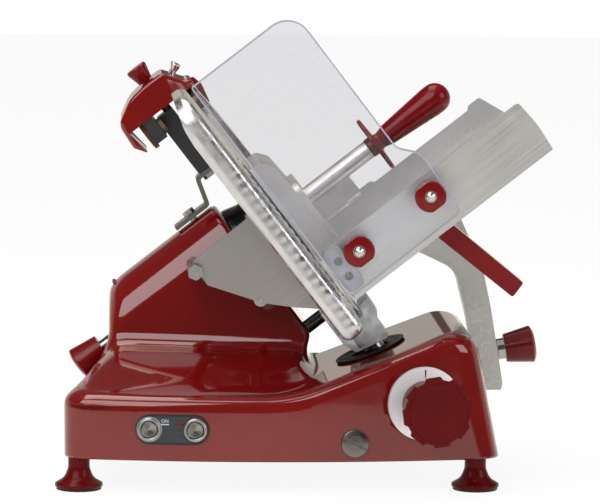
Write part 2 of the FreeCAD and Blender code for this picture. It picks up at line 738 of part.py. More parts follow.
def make_drive():
    drop = -size("motor_drop")
    fit = size("fit_gap")
    can = cylinder("motor_can", "motor_radius", "motor_length", HEAD,
                   (WEB_BACK - size("motor_length"), 0, drop),
                   (1, 0, 0))
    bore = cylinder("motor_bore", 6.3, 14, HEAD, (WEB_BACK - 12, 0, drop), (1, 0, 0))
    part("motor", cut("motor", can, bore))
    near, far = PULLEY_BACK, PULLEY_BACK + size("belt_width") + 4
    wheels = {"driven_pulley": (size("driven_pulley_radius"), size("shaft_radius") + fit, 0, far),
              "motor_pulley": (size("motor_pulley_radius"), 0, drop, far)}
    for name, (radius, bore, u, end) in wheels.items():
        rim = outline((bore, near), (radius + 2, near), (radius + 2, near + 1.6), (radius, near + 2),
                      (radius, end - 2), (radius + 2, end - 1.6), (radius + 2, end), (bore, end))
        wheel = turned(name + "_wheel", rim, HEAD, (0, 0, u), (1, 0, 0))
        if bore:
            part(name, wheel)
            continue
        stub = cylinder("motor_shaft", 6, near - WEB_BACK + 10, HEAD, (WEB_BACK - 10, 0, u), (1, 0, 0))
        part(name, fuse(name, wheel, stub))
    part("drive_belt", make_belt())


PULLEY_BACK = -76.0


def belt_wire(spare):
    """Belt's line round both pulleys, drawn as (y, u)."""
    drop = size("motor_drop")
    large = size("driven_pulley_radius + running_gap") + spare
    small = size("motor_pulley_radius + running_gap") + spare
    lean = math.asin((large - small) / drop)
    across, down = math.cos(lean), -math.sin(lean)
    right_top = Vector(large * across, large * down, 0)
    right_low = Vector(small * across, small * down - drop, 0)
    left_top = Vector(-right_top.x, right_top.y, 0)
    left_low = Vector(-right_low.x, right_low.y, 0)
    return Part.Wire([Part.makeLine(right_low, right_top),
                      Part.Arc(right_top, Vector(0, large, 0), left_top).toShape(),
                      Part.makeLine(left_top, left_low),
                      Part.Arc(left_low, Vector(0, -drop - small, 0), right_low).toShape()])


def make_belt():
    start = (PULLEY_BACK + 2.6, 0, 0)
    width = "belt_width - 1.2"
    outer = prism("belt_outside", belt_wire(size("belt_thickness")), width, HEAD, start, CROSS)
    inner = prism("belt_inside", belt_wire(0), "belt_width + 20", HEAD, (start[0] - 10, 0, 0), CROSS)
    return cut("drive_belt", outer, inner)


make_drive()


# Blade, its hollow shaft and what holds them

def ring_wheel(name, corners, spot=(0, 0, 0)):
    return turned(name, outline(*corners), HEAD, spot, (1, 0, 0))


def make_blade():
    fit = size("fit_gap")
    rim, web = size("blade_radius"), size("blade_web_radius")
    dish, thick = size("blade_dish"), size("blade_thickness")
    bore, back = size("blade_bore_radius"), -dish - thick
    disc = ring_wheel("blade_disc", [(bore, back), (web + 2, back), (rim - 9, -5.2), (rim, -0.4), (rim, 0),
                                     (rim - 12, -1.2), (web - 1, -dish), (bore, -dish)])
    flange, shaft, hole = size("hub_flange_radius"), size("shaft_radius"), size("shaft_bore_radius")
    end = -size("shaft_length")
    boss = size("cover_boss_radius") + 0.5
    tube = ring_wheel("blade_shaft_form", [(boss, back), (flange, back), (flange, back - 9, 1),
                                           (shaft, back - 9),
                                           (shaft, end), (hole, end), (hole, -31), (boss, -31)])
    blade_holes, shaft_holes, screws = [], [], []
    for index in range(4):
        angle = math.radians(45 + 90 * index)
        spot = (size("blade_screw_circle") * math.cos(angle), size("blade_screw_circle") * math.sin(angle))
        for holes in (blade_holes, shaft_holes):
            holes.append(cylinder(f"screw_hole_{index}", "blade_screw_radius + fit_gap", 40, HEAD,
                                  (-20, *spot), (1, 0, 0)))
        shank = cylinder(f"blade_shank_{index}", "blade_screw_radius", 11, HEAD, (-dish - 10.5, *spot),
                         (1, 0, 0))
        head = cone(f"blade_head_{index}", 4.2, 3.2, 2.2, HEAD, (-dish, *spot), (1, 0, 0))
        screws.append(fuse(f"blade_screw_{index}", shank, head))
    part("blade", cut("blade", disc, *blade_holes))
    part("blade_shaft", cut("blade_shaft", tube, *shaft_holes))
    part("blade_screws", group("blade_screws", *screws))
    cover = size("cover_radius")
    boss, rod = size("cover_boss_radius"), size("tie_rod_radius") + fit
    part("blade_cover", ring_wheel("blade_cover_form", [
        (0, -0.6), (cover - 8, -0.9), (cover, -2.4, 1), (cover, -5.4), (boss, -5.4), (boss, -30), (rod, -30),
        (rod, -12), (0, -12)]))


make_blade()


def make_bearings():
    fit = size("fit_gap")
    inner, outer, width = size("shaft_radius") + fit, size("bearing_radius"), size("bearing_width")
    bearings = []
    for index, start in enumerate((BEARING_BACK, NECK_SEAT)):
        bearings.append(ring_wheel(f"bearing_{index}", [(inner, start), (outer, start, 0.8),
                                                        (outer, start + width, 0.8),
                                                        (inner, start + width)]))
    part("shaft_bearings", group("shaft_bearings", *bearings))
    root, front = size("neck_root_radius"), size("neck_radius")
    tip = TOWER_FACE + size("neck_length")
    spigot = size("spigot_radius")
    part("bearing_neck", ring_wheel("bearing_neck_form", [
        (spigot, TOWER_FACE - 5), (spigot, TOWER_FACE + 0.2), (root, TOWER_FACE + 0.2, 1),
                                                          (root - 1, TOWER_FACE + 5, 6),
        (front, TOWER_FACE + 18, 12), (front, tip), (size("hub_flange_radius") + 0.6, tip),
        (size("hub_flange_radius") + 0.6, NECK_SEAT + width + 0.5), (outer + fit, NECK_SEAT + width + 0.5),
        (outer + fit, NECK_SEAT), (size("shaft_radius") + 2, NECK_SEAT),
                                                          (size("shaft_radius") + 2, TOWER_FACE - 5)]))


NECK_SEAT = TOWER_FACE + 8
make_bearings()


def make_ring_guard():
    """Bowl behind the blade with a rim round the part of the edge that doesn't cut."""
    fit = size("fit_gap")
    inner, thick = size("blade_radius") + 2.3, size("ring_thickness")
    back, front = -size("ring_depth"), size("ring_proud")
    bowl = ring_wheel("ring_bowl", [(size("neck_radius") + fit, back), (inner - 1, back),
                                    (inner - 1, back + 3.6),
                                    (size("neck_radius") + fit, back + 3.6)])
    rim = ring_wheel("ring_rim", [(inner - 1, back), (inner + thick, back, 2), (inner + thick, front, 3),
                                  (inner, front, 1), (inner, back + 3.6), (inner - 1, back + 3.6)])
    # the rim is left off where the gauge plate stands
    first, last = math.radians(118), math.radians(238)
    reach = 400
    wedge = outline((0, 0), (reach * math.cos(first), reach * math.sin(first)),
                    (-reach, 0), (reach * math.cos(last), reach * math.sin(last)))
    gate = prism("ring_gate", wedge, 100, HEAD, (-50, 0, 0), CROSS)
    part("ring_guard", fuse("ring_guard", bowl, cut("ring_rim_open", rim, gate)))


make_ring_guard()


def make_cover_rod():
    start, knob = -size("knob_recess_depth"), KNOB_START
    radius, shank = size("tie_rod_radius"), size("shank_radius")
    rim = size("cover_knob_radius")
    part("cover_tie_rod", cylinder("tie_rod", "tie_rod_radius", -12.3 - knob + 12, HEAD, (knob - 12, 0, 0),
                                   (1, 0, 0)))
    fit = radius + size("fit_gap")
    part("cover_knob", ring_wheel("cover_knob_form", [
        (fit, start + 8), (shank, start + 8), (shank, knob), (14.5, knob, 1), (rim, knob - 31, 2),
                                                      (rim - 6, knob - 33.5, 4),
        (0, knob - 34), (0, knob - 12.5), (fit, knob - 12.5)]))


KNOB_START = RECESS_FLOOR - 7.5
make_cover_rod()


# Gauge plate and what carries it

def along_outline(solid, planes, rear):
    """Outer edges lying in the given n planes, away from the rear edge near the blade."""
    found = []
    for edge in solid.Edges:
        box_ = edge.BoundBox
        if any(abs(box_.XMin - n) < 0.01 and abs(box_.XMax - n) < 0.01 for n in planes):
            if box_.YMin < rear:
                found.append(edge)
    return found


def make_gauge_plate():
    centre = size("head_y")
    front, top, bottom = local_y(size("gauge_front")), size("gauge_top"), size("gauge_bottom")
    depth, face = size("gauge_depth"), size("gauge_face")
    edge = outline((front, bottom, 14), (front, top, 34), (local_y(-62), top, 24), (local_y(-24), 136),
                   (local_y(10), 100), (local_y(10), -100), (local_y(-36), bottom))
    flat = edge.copy()
    flat.Placement = at(-depth, 0, 0, CROSS)
    plate = Part.Face(flat).extrude(Vector(depth, 0, 0))
    plate = plate.makeFillet(9, along_outline(plate, (0, -depth), local_y(-100)))
    # the flange gets shallower towards the top
    taper = outline((-depth - 15, top - 62), (-depth - 1, top - 62), (-depth + 2.5, top - 29, 60),
                    (-depth + 12, top + 2), (-depth - 15, top + 2))
    taper.Placement = at(0, 400, 0, SIDE)
    plate = plate.cut(Part.Face(taper).extrude(Vector(0, -800, 0)))
    pocket = edge.makeOffset2D(-face - 1)
    pocket.Placement = at(-depth - 1, 0, 0, CROSS) * pocket.Placement
    hollow = Part.Face(pocket).extrude(Vector(depth + 1 - face, 0, 0))
    blade_space = Part.makeCylinder(size("blade_radius") + 2.3, 80, Vector(-50, 0, 0), Vector(1, 0, 0))
    wall = Part.makeCylinder(size("blade_radius") + 2.3 + face, 80, Vector(-50, 0, 0), Vector(1, 0, 0))
    plate = plate.cut(hollow.cut(wall)).cut(blade_space)
    flutes = []
    radius, pitch = size("rib_radius"), size("rib_pitch")
    count = int(size("rib_count"))
    for index in range(count):
        u = (index - (count - 1) / 2) * pitch - 10
        spot = Vector(radius - size("rib_depth"), front - 10, u)
        flutes.append(Part.makeCylinder(radius, 400, spot, Vector(0, 1, 0)))
    plate = plate.cut(flutes)
    plate.Placement = HEAD * plate.Placement
    return built("gauge_plate_form", plate)


part("gauge_plate", make_gauge_plate())


def make_gauge_support():
    low, top = post_foot() + size("block_bottom"), size("gauge_bottom")
    middle, half = local_y(size("post_y")), size("block_width") / 2
    block = outline((-25, top), (-29, top - 2), (-30, low + 21, 2), (-25, low + 8, 5), (12.5, low, 4),
                    (13, low + 22, 2),
                    (18.5, low + 31, 2), (19.4, low + 47), (6, low + 45), (4, top))
    body = prism("support_block", block, "block_width", HEAD, (0, middle + half, 0), SIDE)
    slot = box("support_slot", 7, 9, 17, HEAD, (-20, middle - half - 1, low + 9))
    arm_end = local_y(size("guide_y + guide_radius + 3"))
    arm = box("support_arm", 6, arm_end - middle, 40, HEAD, (-31.5, middle, size("guide_u") - 30))
    blade_room = cylinder("support_blade_room", "blade_radius + 2.3", 60, HEAD, (-20, 0, 0), (1, 0, 0))
    part("gauge_support", cut("gauge_support", fuse("support_form", body, arm), slot, blade_room))
    guide = cylinder("gauge_guide", "guide_radius", "guide_length", HEAD,
                     (-31.5 - size("guide_length"), local_y(size("guide_y")), size("guide_u")), (1, 0, 0))
    part("gauge_guide_rod", guide)
    # post down into the base, with the foot and pin that ride on the cam
    foot_low = low - size("post_length") - 10
    bar = cylinder("post_bar", "post_radius", "post_length + 10", HEAD,
                   (size("post_n"), middle, foot_low), (0, 0, 1))
    foot = box("post_foot", 27, 20, 14, HEAD, (-25.5, middle - 10, foot_low))
    reach = CAM_LOW + PIN_RADIUS + 0.6
    angle = math.radians(CAM_START)
    pin = cylinder("post_pin", PIN_RADIUS, 24, INDEX, (reach * math.cos(angle), reach * math.sin(angle),
                                                       -CAM_DEPTH - CAM_WIDTH - 13))
    part("gauge_post", fuse("gauge_post", bar, foot, pin))


make_gauge_support()


def make_boot():
    """Rubber boot on the housing's slope that seals the gauge plate's post."""
    rim = size("boot_radius")
    frame = BASE * boot_frame()
    lip = outline((0, 0), (rim - 5, 0), (rim, 1.2, 0.4), (rim, 2.6, 0.4), (rim - 3, 2.6, 0.8),
                  (rim - 8, 1.6, 6),
                  (18, 1.6), (0, 1.6))
    form = turned("boot_form", lip, frame, (-6, 0, 0))
    slot = built("boot_slot", slot_shape(1.0, -5, 30))
    slot.Placement = BASE * slot.Placement
    part("gauge_boot", cut("gauge_boot", form, slot))


make_boot()


def make_deflector():
    plate_y = local_y(size("deflector_y"))
    line = outline((-104, 27, 3), (-27.5, 28, 1), (-27.5, -94, 1), (-48, -76, 4), (-71.5, -52, 5),
                   (-105.5, -2, 3))
    sheet_metal = prism("deflector_plate", line, "deflector_sheet", HEAD, (0, plate_y, 0), SIDE)
    studs, holes = [], []
    for index, (n, u) in enumerate(DEFLECTOR_FIXINGS):
        end = local_y(tower_flank(u + size("deflector_stud_radius") + 3))
        pin, rise = ("deflector_stud_radius", 7) if index == 0 else ("deflector_stud_radius * 0.4", 1.2)
        holes.append(cylinder(f"deflector_hole_{index}", pin + " + fit_gap", 20, HEAD,
                              (n, plate_y + 5, u), (0, -1, 0)))
        shank = cylinder(f"deflector_shank_{index}", "deflector_stud_radius", end - plate_y + 6, HEAD,
                         (n, end + 6, u), (0, -1, 0))
        sleeve = cylinder(f"deflector_sleeve_{index}", "deflector_stud_radius + 3", end - plate_y, HEAD,
                          (n, end, u), (0, -1, 0))
        end_pin = cylinder(f"deflector_pin_{index}", pin, rise + size("deflector_sheet"), HEAD,
                           (n, plate_y + 1, u), (0, -1, 0))
        front = plate_y - size("deflector_sheet")
        if index == 0:
            nut = outline(*[(8.6 * math.cos(math.radians(60 * side)),
                             8.6 * math.sin(math.radians(60 * side)), 0.8)
                            for side in range(6)])
            cap = prism("deflector_nut", nut, rise, HEAD, (n, front, u), SIDE)
        else:
            cap = cylinder("deflector_rivet", "deflector_stud_radius * 0.6", rise, HEAD, (n, front, u),
                           (0, -1, 0))
        studs.append(fuse(f"deflector_stud_{index}", shank, sleeve, end_pin, cap))
    part("slice_deflector", cut("slice_deflector", sheet_metal, *holes))
    part("deflector_studs", group("deflector_studs", *studs))


make_deflector()


# Sharpener over the top of the blade

# heights over the head's axis, counted from the blade's edge
EDGE = size("blade_radius")
COVER_FLOOR = EDGE + 14.5
COVER_TOP = EDGE + 45.3
COVER_CEILING = EDGE + 39
STEM_END = EDGE - 25.5
BUTTON_RISE = 30.0


def make_sharpener_bracket():
    gap, fit = "running_gap", "fit_gap"
    middle = local_y(size("head_y"))
    top = "blade_radius + 8"
    block = padded("bracket_block", [("-46", "84"), ("-26", "84"), ("-26", top), ("-46", top)], "24",
                   HEAD, (0, middle + 14, 0), SIDE, "2")
    bore = cylinder("bracket_bore", f"5 + {gap}", 80, HEAD, (size("sharpener_knob_n"), middle, EDGE - 40))
    bolt_hole = cylinder("bracket_bolt_hole", f"4 + {fit}", 60, HEAD, (-38.5, middle, 42))
    part("sharpener_bracket", cut("sharpener_bracket", block, bore, bolt_hole))
    slope = size("tower_radius") + 0.2
    line = outline((-28, 84), (-52, 84, 5), (-60.5, slope + 4.5, 3), (-101, slope + 4.5, 1), (-101, slope),
                   (-57, slope, 5), (-48.3, 79.5, 3), (-28, 79.5))
    strap = prism("strap", line, 24, HEAD, (0, middle + 12, 0), SIDE)
    holes = [cylinder(f"strap_hole_{n}", f"4 + {fit}", 60, HEAD, (-n, middle, 40)) for n in (38.5, 80)]
    part("sharpener_strap", cut("sharpener_strap", strap, *holes))
    bolts = []
    for n, seat, way in ((-38.5, 79.5, -1), (-80.0, slope + 4.5, 1)):
        head = prism(f"bolt_head_{len(bolts)}", hexagon(6.5), 5, HEAD, (n, middle, seat), facing((0, 0, way)))
        shank = cylinder(f"bolt_shank_{len(bolts)}", 4, 16, HEAD, (n, middle, seat + way), (0, 0, -way))
        bolts.append(fuse(f"sharpener_bolt_{len(bolts)}", head, shank))
    part("sharpener_bolts", group("sharpener_bolts", *bolts))


def hexagon(radius):
    return outline(*[(radius * math.cos(math.radians(60 * side)), radius * math.sin(math.radians(60 * side)))
                     for side in range(6)])


make_sharpener_bracket()


def make_sharpener_cover():
    half = size("sharpener_width") / 2
    wall = size("sharpener_wall")
    low = EDGE - 11.8
    line = outline((-75.3, low), (-83, EDGE - 0.2, 6), (-80.4, EDGE + 29, 14), (-55, EDGE + 43, 40),
                   (-34, COVER_TOP + 0.4, 60), (-12, COVER_TOP, 8), (2, EDGE + 25, 6),
                   (8.3, EDGE + 21.5, 5.5),
                   (8.3, low))
    line.Placement = at(0, half, 0, SIDE)
    shell = Part.Face(line).extrude(Vector(0, -2 * half, 0))
    soft = [edge for edge in shell.Edges if edge.BoundBox.YLength < 0.01 and edge.BoundBox.ZMax > low + 0.1]
    shell = shell.makeFillet(4, soft)
    under = low - 8.2
    room = outline((-72.5, under), (-77.2, EDGE + 10), (-77.4, EDGE + 26, 12), (-56, COVER_CEILING),
                   (-14, COVER_CEILING, 5), (-1.5, EDGE + 23.5, 4), (5, EDGE + 19, 2), (5, under))
    room.Placement = at(0, half - wall, 0, SIDE)
    below = outline((-72.5, under), (-76.8, COVER_FLOOR), (20, COVER_FLOOR), (20, under))
    below.Placement = at(0, half + 5, 0, SIDE)
    shell = shell.cut([Part.Face(room).extrude(Vector(0, 2 * (wall - half), 0)),
                       Part.Face(below).extrude(Vector(0, -2 * half - 10, 0))])
    tongue = outline((7.4, EDGE + 21), (11.5, EDGE + 19, 2), (14, EDGE + 8, 2), (9, EDGE - 14.6, 0.5),
                     (7.4, EDGE))
    tongue.Placement = at(0, 3, 0, SIDE)
    shell = shell.fuse(Part.Face(tongue).extrude(Vector(0, -6, 0)))
    holes = [Part.makeCylinder(5 + size("running_gap"), 60, Vector(size("sharpener_knob_n"), 0, EDGE + 20))]
    for y in BUTTON_SPOTS:
        holes.append(Part.makeCylinder(3.2 + size("running_gap"), 24, Vector(*button_point(-12, y)),
                                       button_way()))
    shell = shell.cut(holes)
    shell.Placement = HEAD * shell.Placement
    return built("sharpener_cover_form", shell)


BUTTON_SPOTS = (-11.0, 11.0)


def button_way():
    angle = math.radians(BUTTON_RISE)
    return Vector(math.cos(angle), 0, math.sin(angle))


def button_point(depth, y):
    way = button_way()
    return -5 + depth * way.x, y, EDGE + 35.2 + depth * way.z


part("sharpener_cover", make_sharpener_cover())


def make_sharpener_works():
    gap = size("running_gap")
    base = COVER_TOP + 0.9
    rim = 11.8
    grip = outline((0, base), (8, base, 0.8), (8.6, base + 3, 2), (rim, base + 16, 1.5),
                   (rim - 1.4, base + 18, 1),
                   (0, base + 18))
    cap = turned("sharpener_knob_cap", grip, HEAD, (size("sharpener_knob_n"), 0, 0))
    flutes = []
    for index in range(10):
        angle = math.radians(36 * index)
        spot = (size("sharpener_knob_n") + rim * math.cos(angle), rim * math.sin(angle), base + 1.5)
        flutes.append(cylinder(f"knob_flute_{index}", 1.3, 30, HEAD, spot))
    stem = cylinder("sharpener_stem", 5, base - STEM_END + 0.5, HEAD, (size("sharpener_knob_n"), 0, STEM_END))
    part("sharpener_knob", fuse("sharpener_knob", cut("fluted_cap", cap, *flutes), stem))
    for name, y in zip(("grinding_button", "honing_button"), BUTTON_SPOTS):
        bell = outline((0, -10), (3.2, -10), (3.2, 5, 3), (5.7, 12, 1), (3, 12.6, 2), (0, 12.8))
        part(name, turned(name + "_bell", bell, HEAD, button_point(0, y), tuple(button_way())))
    low = EDGE - 12
    block = prism("carrier_block", outline((-60.5, low), (-47.5, low), (-47.5, COVER_CEILING),
                                           (-56, COVER_CEILING),
                                           (-60.5, COVER_CEILING - 3)), 42,
                  HEAD, (0, 12, 0), SIDE)
    grinding, honing = (0, EDGE + 2), (-20, EDGE)
    holes = [cylinder("stone_hole_grinding", 3 + gap, 30, HEAD, (-70, *grinding), (1, 0, 0)),
             cylinder("stone_hole_honing", 3 + gap, 30, HEAD, (-70, *honing), (1, 0, 0))]
    part("stone_carrier", cut("stone_carrier", block, *holes))
    thick = size("stone_thickness")
    part("grinding_stone", ring_wheel("grinding_wheel", [
        (0, -60.8 - thick), (size("stone_radius"), -60.8 - thick, 1), (size("stone_radius"), -60.8, 1),
                                                         (3, -60.8),
        (3, -48), (0, -48)], (0, *grinding)))
    part("honing_stone", ring_wheel("honing_wheel", [
        (0, -60), (3, -60), (3, -47.2), (9, -47.2, 1), (9, -47.2 + thick, 1), (0, -47.2 + thick)],
                                    (0, *honing)))


make_sharpener_works()


# Carriage: tray, arm and rail

def side_point(n, u):
    """Machine x and z of a point given in head coordinates."""
    tilt = math.radians(size("tilt_angle"))
    return (size("head_x") + n * math.cos(tilt) - u * math.sin(tilt),
            size("head_z") + n * math.sin(tilt) + u * math.cos(tilt))


def make_tray():
    floor, top, sheet_metal = size("tray_floor"), size("tray_wall_top"), size("tray_sheet")
    end = size("tray_length")
    front, back = local_y(size("tray_front")), local_y(size("tray_back"))
    near = outline((10, floor), (end - 2, floor, 1.5), (end + 0.4, (floor + top) / 2, 90),
                   (end - 2, top, 4), (10, top))
    far = outline((8, floor), (end - 8, floor, 1.5), (end - 11, floor + 29, 8), (238.5, top - 1.2, 4),
                  (224, top - 1.2), (220, top - 5, 2), (96, top - 5, 2), (92, top - 1.2), (8, top - 1.2))
    near_wall = prism("tray_near_wall", near, "tray_sheet", HEAD, (0, front, 0), SIDE)
    far_wall = prism("tray_far_wall", far, "tray_sheet", HEAD, (0, back + sheet_metal, 0), SIDE)
    deck = box("tray_deck", end - 17, "tray_back - tray_front + 2 * tray_sheet", "tray_sheet", HEAD,
               (8, front - sheet_metal, floor))
    ribs = []
    for index in range(9):
        y = front + 22 + index * 23.5
        ribs.append(cylinder(f"deck_rib_{index}", 1.6, end - 40, HEAD, (12, y, floor + sheet_metal - 0.6),
                             (1, 0, 0)))
    rod_y, rod_u = local_y(size("pusher_rod_y")), size("pusher_rod_u")
    ears, holes = [], []
    for index, n in enumerate((18, 228)):
        ears.append(box(f"rod_ear_{index}", 10, rod_y + 9 - back - sheet_metal, 20, HEAD,
                        (n, back + sheet_metal, rod_u - 10)))
    holes.append(cylinder("rod_seat", "pusher_rod_radius + fit_gap", 300, HEAD, (12, rod_y, rod_u),
                          (1, 0, 0)))
    for index, n in enumerate((size("guard_knob_upper_n"), size("guard_knob_lower_n"))):
        holes.append(cylinder(f"wall_hole_{index}", 4 + size("running_gap"), 20, HEAD,
                              (n, front + 5, size("guard_knob_u")), (0, -1, 0)))
    part("tray", cut("tray", fuse("tray_form", near_wall, far_wall, deck, *ears, *ribs), *holes))
    part("pusher_rod", cylinder("pusher_rod_bar", "pusher_rod_radius", 220, HEAD, (18, rod_y, rod_u),
                                (1, 0, 0)))


make_tray()


def make_arm():
    y, width = size("arm_y"), size("arm_width")
    floor = size("tray_floor")
    rail_x, rail_z = size("rail_x"), size("rail_z")
    inner_low = wall_x(FOOT_TOP) + 3
    inner_high = wall_x(150) + 3
    line = outline(side_point(62, floor), (152, 226.5, 35), (193, 207, 30), (inner_high, 154, 60),
                   (inner_low, FOOT_TOP),
                   (rail_x + 5, FOOT_TOP), (rail_x + 5, FOOT_LOW), (243.5, FOOT_LOW, 3), (*ARM_FACE[0], 4),
                   (*ARM_FACE[1], 100), (222, 208, 60), side_point(150, floor))
    form = prism("arm_form", line, "arm_width", BASE, (0, y + width / 2, 0), SIDE)
    seat = cylinder("arm_slider_seat", "slider_radius + fit_gap", 200, BASE, (rail_x, y - 100, rail_z),
                    (0, 1, 0))
    stud = cylinder("arm_stud_hole", 6 + size("running_gap"), 40, ARM_KNOB, (0, 0, -20))
    part("carriage_arm", cut("carriage_arm", form, seat, stud))
    body = cylinder("slider_body", "slider_radius", "slider_length", BASE,
                    (rail_x, y - size("slider_length") / 2, rail_z),
                    (0, 1, 0))
    bore = cylinder("slider_bore", "rail_radius + running_gap", 200, BASE, (rail_x, y - 100, rail_z),
                    (0, 1, 0))
    part("carriage_slider", cut("carriage_slider", body, bore))
    part("slide_rail", cylinder("slide_rail_bar", "rail_radius", RAIL_BACK - RAIL_FRONT, BASE,
                                (rail_x, RAIL_FRONT, rail_z), (0, 1, 0)))
    rim = size("arm_knob_radius")
    grip = outline((0, -12), (6, -12), (6, 0.3), (11, 0.3, 1), (11, 9), (14.9, 9, 1), (rim, 38, 2),
                   (rim - 6, 41, 4), (0, 42))
    part("arm_knob", turned("arm_knob_grip", grip, ARM_KNOB, (0, 0, 0)))
    part("carriage_handle", padded("handle", [("113", "tray_floor"), ("136.4", "-190.2"), ("154.1", "-185.3"),
                                              ("133", "tray_floor")], "28", HEAD, (0, local_y(-118), 0),
                                   SIDE, "2.5"))


def wall_x(z):
    """X of the base's right wall at a height."""
    return size("base_right") - (z - size("base_bottom")) * math.tan(math.radians(size("side_draft")))


# x and z of the arm's outer face, low and high
ARM_FACE = ((244.6, 86.5), (231.3, 165.0))
ARM_KNOB_Z = 120.0


def arm_knob_frame():
    """Frame on the arm's outer face, z square out of it."""
    (low_x, low_z), (high_x, high_z) = ARM_FACE
    lean = (low_x - high_x) / (high_z - low_z)
    turn = Rotation(Vector(0, 1, 0), 90 - math.degrees(math.atan(lean)))
    return BASE * at(low_x - (ARM_KNOB_Z - low_z) * lean, size("arm_y"), ARM_KNOB_Z, turn)


ARM_KNOB = arm_knob_frame()
make_arm()


# Clear finger guard in front of the tray

def make_guard():
    wall = local_y(size("tray_front - tray_sheet"))
    back = wall - size("guard_standoff")
    line = outline((8.5, 181, 3), (136, 181, 26), (135.2, 8, 14), (150.8, -10, 18), (149, -83.5, 9),
                   (7.4, -84.8, 2))
    sheet_form = prism("guard_sheet", line, "guard_thickness", HEAD, (0, back, 0), SIDE)
    holes, spacers = [], []
    u = size("guard_knob_u")
    for name in ("upper", "lower"):
        n = size(f"guard_knob_{name}_n")
        holes.append(cylinder(f"guard_hole_{name}", 4 + size("running_gap"), 20, HEAD, (n, back + 5, u),
                              (0, -1, 0)))
        barrel = cylinder(f"guard_barrel_{name}", 12.5, "guard_standoff", HEAD, (n, wall, u), (0, -1, 0))
        bore = cylinder(f"guard_bore_{name}", 4 + size("running_gap"), 60, HEAD, (n, wall + 5, u), (0, -1, 0))
        spacers.append(cut(f"guard_spacer_{name}", barrel, bore))
        rim, start = size("guard_knob_radius"), size("guard_standoff + guard_thickness")
        disc = outline((0, -2.4), (4, -2.4), (4, start), (rim, start, 0.8), (rim, start + 7, 2),
                       (7, start + 8, 1), (6, start + 7),
                       (5.5, start + 7), (5.5, start + 9, 3), (0, start + 12))
        knob = turned(f"guard_knob_form_{name}", disc, HEAD, (n, wall, u), (0, -1, 0))
        flats = [box(f"guard_flat_{name}_{side}", 40, 20, 6, HEAD,
                     (n - 20, wall - start - 9.5,
                      u + side * (rim - 2) + (0 if side > 0 else -6))) for side in (1, -1)]
        part(f"guard_knob_{name}", cut(f"guard_knob_{name}", knob, *flats))
    part("finger_guard", cut("finger_guard", sheet_form, *holes))
    part("guard_spacers", group("guard_spacers", *spacers))
    part("tray_bracket", padded("tray_bracket_block", [("9", "-82"), ("29", "-82"), ("29", "-33"),
                                                       ("9", "-33")],
                                "guard_standoff - 4", HEAD, (0, wall, 0), SIDE, "6"))


make_guard()


# Food pusher on its rod behind the tray

def make_pusher():
    gap = size("running_gap")
    face, thick, width = size("pusher_face"), size("pusher_thickness"), size("pusher_width")
    y, u = local_y(size("pusher_y")), size("pusher_u")
    back = face + thick
    line = outline((face, -50, 2), (face, 69.5, 1.5), (15, 69.5, 8), (back - 2, 58, 10), (back, 28),
                   (back, -50, 2))
    part("pusher_head", prism("pusher_slab", line, "pusher_width", HEAD, (0, y + width / 2, 0), SIDE))
    plate_end = back + size("pusher_plate")
    plate = prism("pusher_backing", outline((y - 50, -50, 8), (y + 55, -50, 8), (y + 55, 30, 12),
                                            (y - 50, 30, 12)),
                  "pusher_plate", HEAD, (back, 0, 0), CROSS)
    root = prism("pusher_arm_root", outline((y + 18, -34, 6), (y + 18, -2, 8), (y + 54, 2, 12),
                                            (y + 54, -26, 12)), 30,
                 HEAD, (plate_end, 0, 0), CROSS)
    rod_y, rod_u = local_y(size("pusher_rod_y")), size("pusher_rod_u")
    bow = outline((y + 24, -32, 6), (y + 24, -3, 8), (rod_y - 44, 2, 30), (rod_y + 13, -18, 40),
                  (rod_y + 15, rod_u),
                  (rod_y - 15, rod_u), (rod_y - 15.5, -31.5, 10), (rod_y - 46, -25, 20))
    arch = prism("pusher_arm_bow", bow, 36 - 2 * gap, HEAD, (42 + gap, 0, 0), CROSS)
    hub = cylinder("pusher_hub", 15, 36 - 2 * gap, HEAD, (42 + gap, rod_y, rod_u), (1, 0, 0))
    bore = cylinder("pusher_hub_bore", 9 + gap, 60, HEAD, (30, rod_y, rod_u), (1, 0, 0))
    part("pusher_arm", cut("pusher_arm", fuse("pusher_arm_form", plate, root, arch, hub), bore))
    rod = size("pusher_rod_radius") + gap
    part("pusher_bushing", ring_wheel("pusher_bushing_form", [
        (rod, 38), (13, 38, 0.8), (13, 42), (9, 42), (9, 78), (13, 78), (13, 82, 0.8), (rod, 82)],
                                      (0, rod_y, rod_u)))
    start = 112.0
    part("pusher_shaft", cylinder("pusher_shaft_bar", "pusher_shaft_radius", start - plate_end, HEAD,
                                  (plate_end, y, u),
                                  (1, 0, 0)))
    disc, end = size("pusher_disc_radius"), size("pusher_handle_end")
    part("pusher_handle", ring_wheel("pusher_handle_form", [
        (0, start), (10.5, start, 1.5), (10.5, start + 6), (disc, start + 6.2, 2), (disc, start + 10.8, 2),
                                                            (9.5, start + 12, 2),
        (8.6, start + 15, 4), (11.4, start + 25, 10), (16, end - 22, 30), (16, end, 15.8), (0, end)],
                                     (0, y, u)))


make_pusher()


def check_and_save():
    """Stops at any failed object or empty shape, then writes each piece."""
    doc.recompute()
    for thing in doc.Objects:
        if "Invalid" in thing.State or "Error" in thing.State:
            raise RuntimeError(f"{thing.Name} failed: {thing.State}")
    for thing in PARTS:
        if thing.Shape.isNull() or not thing.Shape.isValid() or not thing.Shape.Solids:
            raise RuntimeError(f"{thing.Label} has no valid solid")
    os.makedirs("parts", exist_ok=True)
    for thing in PARTS:
        thing.Shape.exportStep(f"parts/{thing.Label}.step")
    print(len(PARTS), "pieces written")


check_and_save()
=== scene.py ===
import math

